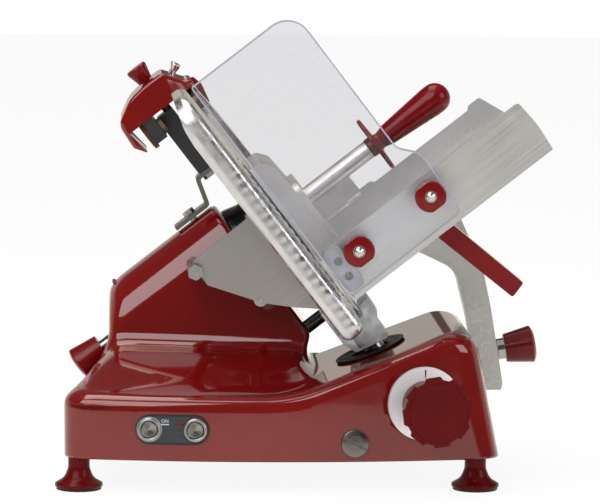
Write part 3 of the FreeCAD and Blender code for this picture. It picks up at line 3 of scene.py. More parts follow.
import bmesh
import bpy
import numpy as np
from mathutils import Matrix, Vector
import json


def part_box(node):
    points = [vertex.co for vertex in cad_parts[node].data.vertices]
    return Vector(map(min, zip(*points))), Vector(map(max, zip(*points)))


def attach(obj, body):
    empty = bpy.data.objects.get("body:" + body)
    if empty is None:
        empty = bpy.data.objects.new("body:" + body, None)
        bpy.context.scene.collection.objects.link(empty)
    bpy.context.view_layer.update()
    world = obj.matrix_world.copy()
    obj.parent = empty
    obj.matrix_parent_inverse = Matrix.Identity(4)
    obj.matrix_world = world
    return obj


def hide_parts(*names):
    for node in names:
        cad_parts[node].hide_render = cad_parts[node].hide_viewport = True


# Looks of the gravity slicer. The CAD model holds every piece that moves or fits. This script gives the
# pieces their finish, replaces three of them by finer meshes, and adds small details.

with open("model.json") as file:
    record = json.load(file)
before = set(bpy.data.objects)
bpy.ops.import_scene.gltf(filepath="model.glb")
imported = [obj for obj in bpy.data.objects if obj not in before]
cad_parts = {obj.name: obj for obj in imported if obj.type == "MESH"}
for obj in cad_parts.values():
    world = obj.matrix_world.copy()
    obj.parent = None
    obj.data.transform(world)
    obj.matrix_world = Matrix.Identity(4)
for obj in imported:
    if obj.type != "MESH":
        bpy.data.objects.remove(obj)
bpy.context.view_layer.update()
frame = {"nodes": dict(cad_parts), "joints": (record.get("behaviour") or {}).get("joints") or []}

MM = 0.001

# The head frame: origin at the blade's centre, n square out of the blade, u climbing the blade.
joints = {joint["name"]: joint for joint in frame["joints"]}


def joint_line(name):
    """A turning joint's place, and the way its axis points."""
    return Vector(joints[name]["pos_m"]), Vector(joints[name]["axis"])


BLADE_CENTRE, ALONG_N = joint_line("blade_spin")
ALONG_Y, ALONG_U = Vector((0, 1, 0)), Vector(joints["sharpener_lift"]["axis"])
HEAD_AXES = np.array((ALONG_N, ALONG_Y, ALONG_U))
HEAD_ORIGIN = np.array(BLADE_CENTRE) / MM


def in_head(points, origin=HEAD_ORIGIN):
    """Points in mm as n, y and u of the head frame."""
    return (points - origin) @ HEAD_AXES.T


def from_head(local):
    """Points of the head frame as a list in metres in the row frame."""
    return ((local @ HEAD_AXES + HEAD_ORIGIN) * MM).tolist()


# Shader building

def add_node(tree, kind, links=None, **settings):
    """New node of a tree, with its settings and what feeds its sockets."""
    made = tree.nodes.new(kind)
    for key, value in settings.items():
        setattr(made, key, value)
    for socket, source in (links or {}).items():
        feed(tree, made.inputs[socket], source)
    return made


def feed(tree, socket, source):
    """Links a socket to its source, or sets its value."""
    if isinstance(source, bpy.types.NodeSocket):
        tree.links.new(source, socket)
    else:
        socket.default_value = source


class Shader:
    """A material with one principled shader, and short ways to add the nodes that vary it."""

    def __init__(self, name, **values):
        self.material = bpy.data.materials.new(name)
        self.material.use_nodes = True
        self.tree = self.material.node_tree
        self.tree.nodes.clear()
        self.surface = self.node("ShaderNodeBsdfPrincipled")
        self.output = self.node("ShaderNodeOutputMaterial", {"Surface": self.surface.outputs["BSDF"]})
        for socket, value in values.items():
            self.surface.inputs[socket.replace("_", " ")].default_value = value

    def node(self, kind, links=None, **settings):
        return add_node(self.tree, kind, links, **settings)

    def feed(self, socket, source):
        feed(self.tree, socket, source)

    def place(self):
        """Coordinates in metres in the row frame."""
        return self.node("ShaderNodeTexCoord").outputs["Object"]

    def vectors(self, operation, first, second):
        """Result of a vector operation: a vector, or a value for a dot product."""
        made = self.node("ShaderNodeVectorMath", {0: first, 1: second}, operation=operation)
        return made.outputs["Value" if operation == "DOT_PRODUCT" else "Vector"]

    def along(self, spot, axis):
        """Distance in metres from a point, counted along an axis."""
        return self.vectors("DOT_PRODUCT", self.vectors("SUBTRACT", self.place(), spot), axis)

    def away(self, spot, axis):
        """Distance in metres from the line through a point along an axis."""
        across = self.vectors("SUBTRACT", self.place(), spot)
        square = self.vectors("DOT_PRODUCT", across, across)
        deep = self.along(spot, axis)
        rest = self.maths("SUBTRACT", square, self.maths("MULTIPLY", deep, deep))
        return self.maths("SQRT", self.maths("MAXIMUM", rest, 0.0))

    def beside(self, stretch):
        """Coordinates along n, y and u of the blade, each times its stretch."""
        links = {}
        for socket, axis, times in zip("XYZ", (ALONG_N, ALONG_Y, ALONG_U), stretch):
            links[socket] = self.maths("MULTIPLY", self.along(BLADE_CENTRE, axis), times)
        return self.node("ShaderNodeCombineXYZ", links).outputs[0]

    def noise(self, scale, detail=2.0, where=None, roughness=0.5):
        where = where or self.place()
        links = {"Vector": where, "Scale": scale, "Detail": detail, "Roughness": roughness}
        return self.node("ShaderNodeTexNoise", links).outputs["Fac"]

    def spread(self, source, low, high, start=0.3, end=0.7):
        """Maps a value between start and end to low and high."""
        links = {"Value": source, "From Min": start, "From Max": end, "To Min": low, "To Max": high}
        return self.node("ShaderNodeMapRange", links).outputs[0]

    def grain(self, where, scale, detail):
        """Noise along one number, such as a radius or an angle."""
        links = {"W": where, "Scale": scale, "Detail": detail}
        return self.node("ShaderNodeTexNoise", links, noise_dimensions="1D").outputs["Fac"]

    def cloud(self, scale, detail):
        """Noise that fills the range from 0 to 1."""
        return self.spread(self.noise(scale, detail), 0.0, 1.0)

    def tint(self, factor, first, second):
        """Colour between two others. The mix node takes colours at sockets 6 and 7 and gives one at 2."""
        return self.node("ShaderNodeMix", {0: factor, 6: first, 7: second}, data_type="RGBA").outputs[2]

    def maths(self, operation, first, second=0.0, third=0.0):
        links = {0: first, 1: second, 2: third}
        return self.node("ShaderNodeMath", links, operation=operation).outputs[0]

    def bump(self, height, depth, strength=1.0, under=None):
        links = {"Height": height, "Distance": depth, "Strength": strength}
        if under:
            links["Normal"] = under
        return self.node("ShaderNodeBump", links).outputs[0]

    def colour(self, source):
        self.feed(self.surface.inputs["Base Color"], source)

    def clouds(self, scale, detail, first, second):
        self.colour(self.tint(self.cloud(scale, detail), first, second))

    def rough(self, source):
        self.feed(self.surface.inputs["Roughness"], source)

    def gloss(self, scale, detail, low, high):
        self.rough(self.spread(self.noise(scale, detail), low, high))

    def bumps(self, scale, detail, depth, strength):
        self.normal(self.bump(self.noise(scale, detail), depth, strength))

    def normal(self, source):
        self.feed(self.surface.inputs["Normal"], source)
        if self.surface.inputs["Coat Weight"].default_value > 0:
            self.feed(self.surface.inputs["Coat Normal"], source)


def rgb(red, green, blue, alpha=1.0):
    """Linear colour from the 0 to 255 values that a screen shows."""
    def linear(value):
        share = value / 255
        return share / 12.92 if share <= 0.04045 else ((share + 0.055) / 1.055) ** 2.4
    return (linear(red), linear(green), linear(blue), alpha)


def enamel(name, main, deep, roughness=0.07, coat=0.5):
    """Thick glossy enamel over a casting: slow waves in the gloss and faint clouds in the colour."""
    made = Shader(name, Roughness=roughness, Specular_IOR_Level=0.5, Coat_Weight=coat, Coat_Roughness=0.02)
    made.clouds(9.0, 3.0, main, deep)
    made.gloss(60.0, 4.0, roughness * 0.7, roughness * 1.4)
    made.bumps(26.0, 1.0, 0.0007, 0.12)
    return made.material


def moulding(name, main, deep, roughness=0.15, gloss=0.24):
    """Glossy moulded plastic with a faint orange-peel skin."""
    made = Shader(name, Roughness=roughness, Specular_IOR_Level=gloss)
    made.clouds(30.0, 4.0, main, deep)
    made.gloss(220.0, 5.0, roughness * 0.75, roughness * 1.35)
    made.bumps(260.0, 2.0, 0.00004, 0.15)
    return made.material


def shaded(colour, share):
    return tuple(channel * share for channel in colour[:3]) + (1.0,)


def brushed(name, main, stretch, roughness=0.3, depth=0.00003, contrast=0.1):
    """Metal with fine lines along the blade's axes, drawn out along the one whose stretch is small."""
    made = Shader(name, Metallic=1.0, Roughness=roughness)
    lines = made.noise(1.0, 4.0, made.beside(stretch), 0.65)
    made.colour(made.tint(made.spread(lines, 0.0, 1.0), shaded(main, 1 - contrast), main))
    cloud = made.spread(made.noise(14.0, 3.0), 0.85, 1.2)
    made.rough(made.maths("MULTIPLY", made.spread(lines, roughness * 0.75, roughness * 1.3), cloud))
    made.normal(made.bump(lines, depth, 0.6))
    return made.material


def cast_metal(name, main, roughness=0.2, pits=0.3):
    """Polished cast metal: clear gloss with soft unevenness and shallow polishing marks."""
    made = Shader(name, Metallic=1.0, Roughness=roughness)
    made.clouds(28.0, 5.0, shaded(main, 0.88), main)
    made.gloss(90.0, 5.0, roughness * 0.6, roughness * 1.5)
    slow = made.bump(made.noise(36.0, 2.0), 0.0011, pits)
    made.normal(made.bump(made.noise(500.0, 3.0), 0.00004, 0.25, slow))
    return made.material


def turned_metal(name, main, spot, axis, roughness=0.2, depth=0.00003, ring=2600.0):
    """Disc turned on a lathe: fine rings round its axis."""
    made = Shader(name, Metallic=1.0, Roughness=roughness)
    radius = made.away(spot, axis)
    lines = made.grain(radius, ring, 3.0)
    made.colour(made.tint(made.spread(lines, 0.0, 1.0), shaded(main, 0.86), main))
    made.rough(made.spread(lines, roughness * 0.7, roughness * 1.4))
    made.normal(made.bump(lines, depth, 0.5))
    return made.material


def spun_face_with_painted_sheen(name, main, spot):
    """Key face spun with a fine tool, with a painted sheen: dark and bright sectors, painted into its
    colour, fan out from its centre.
    """
    made = Shader(name, Metallic=1.0, Roughness=0.3)
    turn = made.maths("ARCTAN2", made.along(spot, PANEL_UP), made.along(spot, PANEL_ACROSS))
    painted_sheen = made.maths("SINE", made.maths("MULTIPLY_ADD", turn, 2.0, 0.6))
    mixed = made.maths("ADD", painted_sheen, made.spread(made.grain(turn, 9.0, 4.0), -0.5, 0.5))
    # Painted sheen: the dark and bright sectors stand in for light on the spun face.
    dark, bright = shaded(main, 0.45), shaded(main, 1.25)
    made.colour(made.tint(made.spread(mixed, 0.0, 1.0, -1.2, 1.2), dark, bright))
    made.rough(made.spread(made.away(spot, PANEL_OUT), 0.22, 0.4, 0.0, 0.008))
    made.bumps(900.0, 2.0, 0.00001, 0.3)
    return made.material


def satin_ring_with_painted_sheen(name, main):
    """Satin ring with fine turning lines, and a painted sheen that makes it brighter at its top and bottom
    than at its sides.
    """
    made = Shader(name, Metallic=0.35, Roughness=0.4)
    across = Vector((0, 0, 1)).cross(INDEX_OUT).normalized()
    turn = made.maths("ARCTAN2", made.along(INDEX_SPOT, (0, 0, 1)), made.along(INDEX_SPOT, across))
    # Painted sheen: colour brighter at the top and bottom of the ring, darker at its sides.
    painted_sheen = made.maths("SINE", made.maths("MULTIPLY_ADD", turn, 2.0, -1.2))
    lines = made.grain(made.away(INDEX_SPOT, INDEX_OUT), 3000.0, 2.0)
    mixed = made.maths("ADD", painted_sheen, made.spread(lines, -0.2, 0.2))
    dark, bright = shaded(main, 0.86), shaded(main, 1.05)
    made.colour(made.tint(made.spread(mixed, 0.0, 1.0, -1.1, 1.1), dark, bright))
    made.rough(made.spread(lines, 0.32, 0.44))
    made.normal(made.bump(lines, 0.000004, 0.3))
    return made.material


def knob_with_steel(name, main, deep, steel, bare):
    """Moulded knob whose steel shank or cap shows where the mask from bare is 1."""
    made = Shader(name, Roughness=0.2, Specular_IOR_Level=0.3)
    mask = bare(made)
    plastic = made.tint(made.cloud(30.0, 4.0), main, deep)
    metal = made.tint(made.cloud(300.0, 3.0), steel, shaded(steel, 0.85))
    made.colour(made.tint(mask, plastic, metal))
    made.feed(made.surface.inputs["Metallic"], mask)
    made.gloss(220.0, 5.0, 0.14, 0.26)
    made.bumps(260.0, 2.0, 0.00004, 0.15)
    return made.material


def steel_side(joint, sign, limit):
    """Mask that is 1 past the limit in metres along the joint's axis, or against it where sign is -1."""
    spot, axis = joint_line(joint)
    return lambda made: made.maths("GREATER_THAN", made.along(spot, axis * sign), limit)


def steel_core(joint, radius):
    """Mask that is 1 within the radius in metres of the joint's axis."""
    spot, axis = joint_line(joint)
    return lambda made: made.maths("LESS_THAN", made.away(spot, axis), radius)


def rubber(name, main):
    made = Shader(name, Roughness=0.55, Specular_IOR_Level=0.4)
    made.clouds(70.0, 6.0, main, shaded(main, 1.8))
    made.gloss(160.0, 4.0, 0.4, 0.65)
    made.bumps(1200.0, 4.0, 0.0001, 0.3)
    return made.material


def stone(name, main):
    made = Shader(name, Roughness=0.85)
    made.clouds(2600.0, 2.0, main, shaded(main, 2.4))
    made.gloss(900.0, 3.0, 0.7, 0.95)
    made.bumps(2600.0, 2.0, 0.0003, 0.7)
    return made.material


def acrylic(name):
    """Clear sheet, faintly grey, darker and frosted where it is cut at its edge."""
    made = Shader(name, Roughness=0.02, IOR=1.49, Transmission_Weight=1.0)
    outward = made.node("ShaderNodeNewGeometry").outputs["Normal"]
    facing = made.maths("ABSOLUTE", made.node("ShaderNodeSeparateXYZ", {0: outward}).outputs["Y"])
    cut_edge = made.maths("LESS_THAN", facing, 0.8)
    scratches = made.noise(1.0, 5.0, made.beside((60, 900, 700)), 0.7)
    sheet = made.tint(made.spread(scratches, 0.0, 1.0), rgb(228, 228, 230), rgb(236, 236, 238))
    made.colour(made.tint(cut_edge, sheet, rgb(120, 120, 138)))
    frosted = made.maths("MULTIPLY", cut_edge, 0.25)
    made.rough(made.maths("MAXIMUM", made.spread(scratches, 0.01, 0.04), frosted))
    made.bumps(18.0, 1.0, 0.0004, 0.04)
    return made.material


def chrome(name):
    made = Shader(name, Metallic=1.0, Roughness=0.06)
    made.clouds(40.0, 3.0, rgb(205, 206, 210), rgb(226, 227, 230))
    made.gloss(120.0, 4.0, 0.04, 0.12)
    made.bumps(500.0, 2.0, 0.00004, 0.15)
    return made.material


def slate_panel(name):
    """Slate grey moulding with a darker rim a little inside its outline."""
    made = Shader(name, Roughness=0.32, Specular_IOR_Level=0.5)
    sideways = made.maths("ABSOLUTE", made.along(PANEL_CENTRE, PANEL_ACROSS))
    past = made.maths("MAXIMUM", made.maths("SUBTRACT", sideways, PANEL_HALF_RUN), 0.0)
    height = made.along(PANEL_CENTRE, PANEL_UP)
    square = made.maths("ADD", made.maths("MULTIPLY", past, past), made.maths("MULTIPLY", height, height))
    rim = made.maths("GREATER_THAN", made.maths("SQRT", square), PANEL_ROUND - PANEL_RIM)
    plain = made.tint(made.cloud(90.0, 4.0), rgb(50, 54, 58), rgb(46, 49, 53))
    made.colour(made.tint(rim, plain, rgb(22, 33, 40)))
    made.gloss(300.0, 4.0, 0.26, 0.42)
    made.bumps(900.0, 2.0, 0.00004, 0.2)
    return made.material


def node_points(name):
    return [Vector(vertex.co) for vertex in frame["nodes"][name].data.vertices]


def reach(name, spot, axis):
    """Furthest that a CAD node goes along an axis, counted from a point."""
    return max((point - spot).dot(axis) for point in node_points(name))


def middle_of(name):
    low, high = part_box(name)
    return (Vector(low) + Vector(high)) / 2


# The switch panel's own directions: out of it, across it from key to key, and up it.
KEY_ON, KEY_OFF = middle_of("on_button"), middle_of("off_button")
PANEL_OUT = -Vector(joints["on_press"]["axis"]).normalized()
PANEL_ACROSS = (KEY_OFF - KEY_ON).normalized()
PANEL_UP = PANEL_OUT.cross(PANEL_ACROSS).normalized()
PANEL_CENTRE = (KEY_ON + KEY_OFF) / 2
PANEL_ROUND, PANEL_RIM = 14.8 * MM, 1.6 * MM
PANEL_HALF_RUN = 37.3 * MM - PANEL_ROUND
INDEX_SPOT, INDEX_OUT = joint_line("index_turn")
PLUG_OUT = Vector((0.07, -0.995, 0.063)).normalized()

RED, DEEP_RED = rgb(110, 8, 12), rgb(98, 6, 10)
SHANK_STEEL = rgb(176, 175, 172)
RED_ENAMEL = enamel("red_enamel_gloss", rgb(112, 12, 13), rgb(102, 9, 11))
RED_PLASTIC = moulding("red_moulding", RED, DEEP_RED)
COVER_SHANK, ARM_SHANK, GUARD_CAP_RADIUS = -39.6 * MM, -9.0 * MM, 6.0 * MM
COVER_KNOB = knob_with_steel("red_moulding_cover_knob", RED, DEEP_RED, SHANK_STEEL,
                             steel_side("cover_rod_turn", 1, COVER_SHANK))
ARM_KNOB = knob_with_steel("red_moulding_arm_knob", RED, DEEP_RED, SHANK_STEEL,
                           steel_side("arm_knob_turn", -1, ARM_SHANK))


def guard_knob(place):
    cap = steel_core(f"guard_knob_{place}_turn", GUARD_CAP_RADIUS)
    return knob_with_steel(f"red_moulding_guard_{place}", RED, DEEP_RED, rgb(208, 207, 205), cap)


GUARD_KNOBS = [guard_knob(place) for place in ("upper", "lower")]
BLACK_ENAMEL = enamel("black_enamel_gloss", rgb(20, 20, 22), rgb(14, 14, 15), 0.12)
DARK_GREY = enamel("dark_grey_satin", rgb(44, 45, 49), rgb(34, 35, 39), 0.3, 0.0)
BLACK_PLASTIC = moulding("black_moulding", rgb(30, 30, 33), rgb(24, 24, 26), 0.35)
PANEL_GREY = slate_panel("panel_slate")
KEY_METAL = [spun_face_with_painted_sheen(f"key_steel_{place}", rgb(158, 156, 154), spot)
             for place, spot in (("on", KEY_ON), ("off", KEY_OFF))]
POLISHED = cast_metal("polished_casting", rgb(228, 228, 232), 0.36, 0.05)
RING_POLISH = cast_metal("polished_ring", rgb(206, 206, 210), 0.18, 0.15)
SCREW_STEEL = cast_metal("screw_steel", rgb(140, 140, 142), 0.3, 0.1)
SATIN_CAST = cast_metal("satin_casting", rgb(198, 201, 208), 0.38, 0.08)
TRAY_METAL = brushed("satin_aluminium_lines", rgb(234, 234, 236), (8, 900, 700), 0.36)
SATIN = brushed("satin_aluminium_fine", rgb(222, 221, 223), (40, 400, 400), 0.46, 0.00001, 0.05)
ARM_METAL = brushed("arm_aluminium", rgb(206, 207, 208), (300, 30, 300), 0.4, 0.00001, 0.05)
RING_METAL = satin_ring_with_painted_sheen("index_ring_aluminium", rgb(240, 240, 242))
PLUG_STEEL = turned_metal("plug_steel", rgb(132, 128, 124), middle_of("plug_screw"), PLUG_OUT,
                          0.3, 0.00001, 1500.0)
BRUSHED_SHEET = brushed("brushed_sheet", rgb(180, 177, 178), (10, 900, 900), 0.36, 0.00002, 0.12)
STEEL = brushed("ground_steel", rgb(172, 173, 176), (500, 500, 500), 0.24)
DARK_STEEL = brushed("blued_steel", rgb(92, 94, 98), (400, 400, 400), 0.3)
STRAP_STEEL = brushed("strap_steel", rgb(128, 124, 122), (500, 500, 500), 0.3)
# Darker copy of the red moulding for the feet and the index knob: painted shade.
RED_PAINTED_SHADE = moulding("red_moulding_painted_shade", rgb(88, 6, 9), rgb(78, 4, 7), 0.2, 0.12)
CUT_EDGE = moulding("frosted_cut_edge", rgb(158, 158, 172), rgb(146, 146, 160), 0.4)
BLADE_STEEL = turned_metal("turned_blade", rgb(200, 201, 204), BLADE_CENTRE, ALONG_N)
COVER_STEEL = turned_metal("turned_cover", rgb(206, 207, 210), BLADE_CENTRE, ALONG_N, 0.26)
CHROME = chrome("bright_chrome")
BEZEL_STEEL = brushed("satin_bezel", rgb(176, 176, 177), (600, 600, 600), 0.3, 0.00001, 0.06)
RUBBER = rubber("black_rubber_soft", rgb(20, 20, 21))
CLEAR = acrylic("clear_acrylic")
STONE = stone("abrasive_grain", rgb(84, 62, 48))
MOTOR_PAINT = enamel("motor_paint", rgb(88, 90, 94), rgb(76, 78, 82), 0.4, 0.0)
LEGEND_PALE = moulding("legend_pale", rgb(176, 180, 186), rgb(166, 170, 176), 0.5)
LEGEND_RED = moulding("legend_red", rgb(104, 22, 26), rgb(94, 18, 22), 0.5)
INK = moulding("engraved_mark", rgb(52, 53, 56), rgb(44, 45, 48), 0.5)

FINISH = {
    RED_ENAMEL: ["base_casting", "sharpener_cover"],
    RED_PLASTIC: ["sharpener_knob", "carriage_handle", "guard_spacers", "pusher_handle"],
    RED_PAINTED_SHADE: ["feet", "index_knob"],
    COVER_KNOB: ["cover_knob"],
    ARM_KNOB: ["arm_knob"],
    GUARD_KNOBS[0]: ["guard_knob_upper"],
    GUARD_KNOBS[1]: ["guard_knob_lower"],
    BLACK_ENAMEL: ["bearing_neck"],
    DARK_GREY: ["sharpener_bracket", "stone_carrier"],
    BLACK_PLASTIC: ["mains_inlet", "pusher_bushing"],
    KEY_METAL[0]: ["on_button"],
    KEY_METAL[1]: ["off_button"],
    PANEL_GREY: ["switch_panel"],
    POLISHED: ["gauge_plate"],
    RING_POLISH: ["ring_guard"],
    SATIN_CAST: ["gauge_support", "tray_bracket"],
    TRAY_METAL: ["tray"],
    SATIN: ["pusher_head", "pusher_arm", "pusher_shaft", "driven_pulley"],
    ARM_METAL: ["carriage_arm", "carriage_slider"],
    RING_METAL: ["index_ring"],
    PLUG_STEEL: ["plug_screw"],
    BRUSHED_SHEET: ["slice_deflector"],
    STEEL: ["bottom_cover", "index_spindle", "motor_pulley", "blade_shaft", "blade_screws",
            "shaft_bearings", "cover_tie_rod", "gauge_post", "slide_rail", "pusher_rod", "deflector_studs",
            "sharpener_bolts"],
    STRAP_STEEL: ["sharpener_strap"],
    DARK_STEEL: ["gauge_guide_rod"],
    BLADE_STEEL: ["blade"],
    COVER_STEEL: ["blade_cover"],
    CHROME: ["button_bezels", "grinding_button", "honing_button"],
    RUBBER: ["foot_pads", "drive_belt", "gauge_boot"],
    CLEAR: ["finger_guard"],
    STONE: ["grinding_stone", "honing_stone"],
    MOTOR_PAINT: ["motor"],
}


def dress_nodes():
    for material, names in FINISH.items():
        for name in names:
            node = frame["nodes"][name]
            node.data.materials.clear()
            node.data.materials.append(material)


dress_nodes()


# Soft base casting. The CAD casting has sharp corners where its tower, deck and housing meet. The scene's
# own casting keeps its cuts and bores, and its outside is drawn onto one smooth form. Lengths are in mm
# from the middle of the feet.

FEET_LOW, FEET_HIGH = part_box("feet")
MIDDLE = np.array([(FEET_LOW[0] + FEET_HIGH[0]) / 2, (FEET_LOW[1] + FEET_HIGH[1]) / 2, 0.0])
HEAD_SPOT = HEAD_ORIGIN - MIDDLE / MM
BASE_BOTTOM, DECK, CREST = 33.0, 98.0, 161.0
LEFT_FOOT, LEFT_PIVOT, RIGHT_FOOT, BACK = -217.0, 120.0, 227.0, 168.0
LEFT_TAPER, LEFT_LEAN, RIGHT_LEAN, FRONT_DRAFT = (math.radians(angle) for angle in (10.5, 1.4, 11.5, 3.6))
FRONT_BOW, BOW_CENTRE = 1100.0, 930.0
CORNER_ROUND = 30.0
SLOPE_FOOT, SLOPE_RUN, SLOPE_ROUND = 14.0, 158.0, 160.0
CREST_DROP, CREST_RUN, CREST_ROUND = 17.0, 228.0, 40.0
BACK_STEP, BACK_RUN, BACK_FALL = 62.0, 162.0, 42.0
TOWER_LEFT, TOWER_ROUND, TOWER_END = -171.0, 51.0, 53.0
TOWER_NEAR, TOWER_FAR = math.radians(12), math.radians(4)
SHOULDER_ROUND, TOWER_EDGE, TOWER_SOFTER = 28.0, 14.0, 7.0
CHIN_FOOT, CHIN_OUT = 22.0, (43.45, 0, -18.64)
RISE_TOP = 129.0
RISE_FOOT = [(-222, -156, 88), (48, -156, 88), (48, 160, 88), (-163.6, 160, 88)]
RISE_CROWN = [(-174, -34, RISE_TOP), (36, -34, RISE_TOP), (36, 140, RISE_TOP), (-161, 140, RISE_TOP)]
RISE_BLEND, RISE_SOFTER = 12.0, 14.0
STEP_BLEND, ROOF_BLEND, RISE_FOOT_BLEND, TOWER_FOOT_BLEND = 14.0, 12.0, 10.0, 15.0
RIM_ROUND, RIM_WIDER, WIDER_FROM, WIDER_RUN = 13.0, 5.0, 40.0, 160.0
RELIEF_RADIUS, RELIEF_ROOM, RELIEF_FROM, RELIEF_TO = 165.0, 0.8, -23.0, 15.0
MESH_STEP, SETTLING_STEPS = 4.0, 8
SKIN_DEPTH, SEAT_DEPTH, SKIN_FACING, UNDERSIDE_ROOM = 3.0, 0.35, 0.86, 0.5
SEAT_ROOM = {"switch_panel": 1.0, "index_ring": 0.6, "deflector_studs": 1.0}


def blend_width(radius, turn):
    """Width of a smooth blend that stands for an arc of the radius at an edge of so many degrees."""
    return 4 * radius * (1 - math.cos(math.radians(turn) / 2))


def unite(first, second, width=0.0):
    """Nearer of two signed distances, blended where they differ by less than the width."""
    near = np.maximum(width - np.abs(first - second), 0.0) / np.maximum(width, 1e-6)
    return np.minimum(first, second) - near * near * width / 4


def meet(first, second, width=0.0):
    return -unite(-first, -second, width)


def plane(points, spot, across):
    """Signed distance to the plane through spot, positive on the side that across points to."""
    across = np.array(across, float)
    return (points - np.array(spot, float)) @ (across / np.linalg.norm(across))


def wall_distance(points):
    x, y, z = points.T
    left_spot = (LEFT_FOOT + LEFT_PIVOT * math.tan(LEFT_TAPER), 0, BASE_BOTTOM)
    left_across = (-math.cos(LEFT_LEAN) * math.cos(LEFT_TAPER), math.cos(LEFT_LEAN) * math.sin(LEFT_TAPER),
                   -math.sin(LEFT_LEAN))
    left = plane(points, left_spot, left_across)
    right_across = (math.cos(RIGHT_LEAN), 0, math.sin(RIGHT_LEAN))
    right = plane(points, (RIGHT_FOOT, 0, BASE_BOTTOM), right_across)
    bow = FRONT_BOW - (z - BASE_BOTTOM) * math.tan(FRONT_DRAFT)
    front = (np.hypot(x, y - BOW_CENTRE) - bow) * math.cos(FRONT_DRAFT)
    walls = meet(front, left, blend_width(CORNER_ROUND, 89))
    walls = meet(walls, right, blend_width(CORNER_ROUND, 78))
    return meet(walls, y - BACK, blend_width(CORNER_ROUND, 85))


def roof_distance(points):
    deck = points[:, 2] - DECK
    slope = plane(points, (SLOPE_FOOT, 0, DECK), (DECK - CREST, 0, SLOPE_RUN))
    crest = plane(points, (SLOPE_FOOT + SLOPE_RUN, 0, CREST), (CREST_DROP, 0, CREST_RUN))
    rising = unite(deck, slope, blend_width(SLOPE_ROUND, 21.7))
    return meet(rising, crest, blend_width(CREST_ROUND, 26))


def tower_distance(points, soft):
    n, y, u = in_head(points, HEAD_SPOT).T
    near = -y * math.cos(TOWER_NEAR) + u * math.sin(TOWER_NEAR)
    far = y * math.cos(TOWER_FAR) + u * math.sin(TOWER_FAR)
    flanks = np.maximum(near, far)
    angle = np.arctan2(u, y)
    round_top = (angle > TOWER_FAR) & (angle < math.pi - TOWER_NEAR)
    arch = np.where(round_top, np.hypot(y, u), flanks) - TOWER_ROUND
    left = meet(TOWER_LEFT - points[:, 0], u - TOWER_ROUND - 3, blend_width(SHOULDER_ROUND, 52))
    body = meet(left, arch, blend_width(TOWER_EDGE, 85))
    chin = plane(points, (CHIN_FOOT, 0, DECK), CHIN_OUT)
    end = meet(n + TOWER_END, chin, blend_width(TOWER_EDGE, 61))
    return meet(body, end, blend_width(TOWER_SOFTER, 90) * soft)


def rise_distance(points, soft):
    """The deck's slopes up to the tower's foot."""
    found = points[:, 2] - RISE_TOP
    for index in range(4):
        after = (index + 1) % 4
        start, end = np.array(RISE_FOOT[index], float), np.array(RISE_FOOT[after], float)
        top = (np.array(RISE_CROWN[index], float) + np.array(RISE_CROWN[after], float)) / 2
        middle = (start + end) / 2
        across = np.cross(end - start, top - middle)
        found = meet(found, plane(points, middle, across), RISE_BLEND + RISE_SOFTER * soft)
    return found


def casting_distance(points, soft=1.0):
    """Signed distance to the outside of the casting: as cut at soft 0, with its cast blends at 1."""
    behind = plane(points, (0, BACK_STEP, DECK), (0, BACK_RUN, BACK_FALL))
    step = unite(points[:, 2] - DECK, behind, STEP_BLEND * soft)
    roof = meet(roof_distance(points), step, ROOF_BLEND * soft)
    roof = unite(roof, rise_distance(points, soft), RISE_FOOT_BLEND * soft)
    share = np.clip((points[:, 0] - WIDER_FROM) / WIDER_RUN, 0, 1) * soft
    rim = blend_width(RIM_ROUND, 90) + share * blend_width(RIM_WIDER, 90)
    block = meet(wall_distance(points), roof, rim)
    block = unite(block, tower_distance(points, soft), TOWER_FOOT_BLEND * soft)
    return meet(block, BASE_BOTTOM - points[:, 2])


def slope_of(points, soft=1.0, step=0.1):
    """Gradient of the form, which points straight out of it."""
    found = []
    for axis in range(3):
        move = np.zeros(3)
        move[axis] = step
        found.append(casting_distance(points + move, soft) - casting_distance(points - move, soft))
    return np.stack(found, axis=1) / (2 * step)


def refine(points, faces, chosen, longest):
    """Halves the long edges of the chosen triangles until none is left, and keeps the mesh closed."""
    while True:
        sides = np.sort(faces[:, [[0, 1], [1, 2], [2, 0]]].reshape(-1, 2), axis=1)
        edges, index = np.unique(sides, axis=0, return_inverse=True)
        index = index.reshape(-1, 3)
        wanted = np.zeros(len(edges), bool)
        wanted[index[chosen].ravel()] = True
        length = np.linalg.norm(points[edges[:, 0]] - points[edges[:, 1]], axis=1)
        split = wanted & (length > longest)
        if not split.any():
            return points, faces, chosen
        middle = np.full(len(edges), -1)
        middle[split] = len(points) + np.arange(split.sum())
        points = np.vstack([points, (points[edges[split, 0]] + points[edges[split, 1]]) / 2])
        mids = middle[index]
        count = (mids >= 0).sum(axis=1)
        made, kept = [faces[count == 0]], [chosen[count == 0]]
        for number, first in ((1, lambda m: m[:, 0] >= 0), (2, lambda m: m[:, 2] < 0), (3, None)):
            rows = count == number
            corner, half, flag = faces[rows], mids[rows], chosen[rows]
            for _ in range(2 if first else 0):
                wrong = ~first(half)
                corner[wrong] = np.roll(corner[wrong], -1, axis=1)
                half[wrong] = np.roll(half[wrong], -1, axis=1)
            (a, b, c), (ab, bc, ca) = corner.T, half.T
            parts = {1: [(a, ab, c), (ab, b, c)],
                     2: [(ab, b, bc), (a, ab, bc), (a, bc, c)],
                     3: [(a, ab, ca), (ab, b, bc), (ca, bc, c), (ab, bc, ca)]}[number]
            made += [np.stack(triangle, axis=1) for triangle in parts]
            kept += [flag] * len(parts)
        faces, chosen = np.vstack(made), np.concatenate(kept)


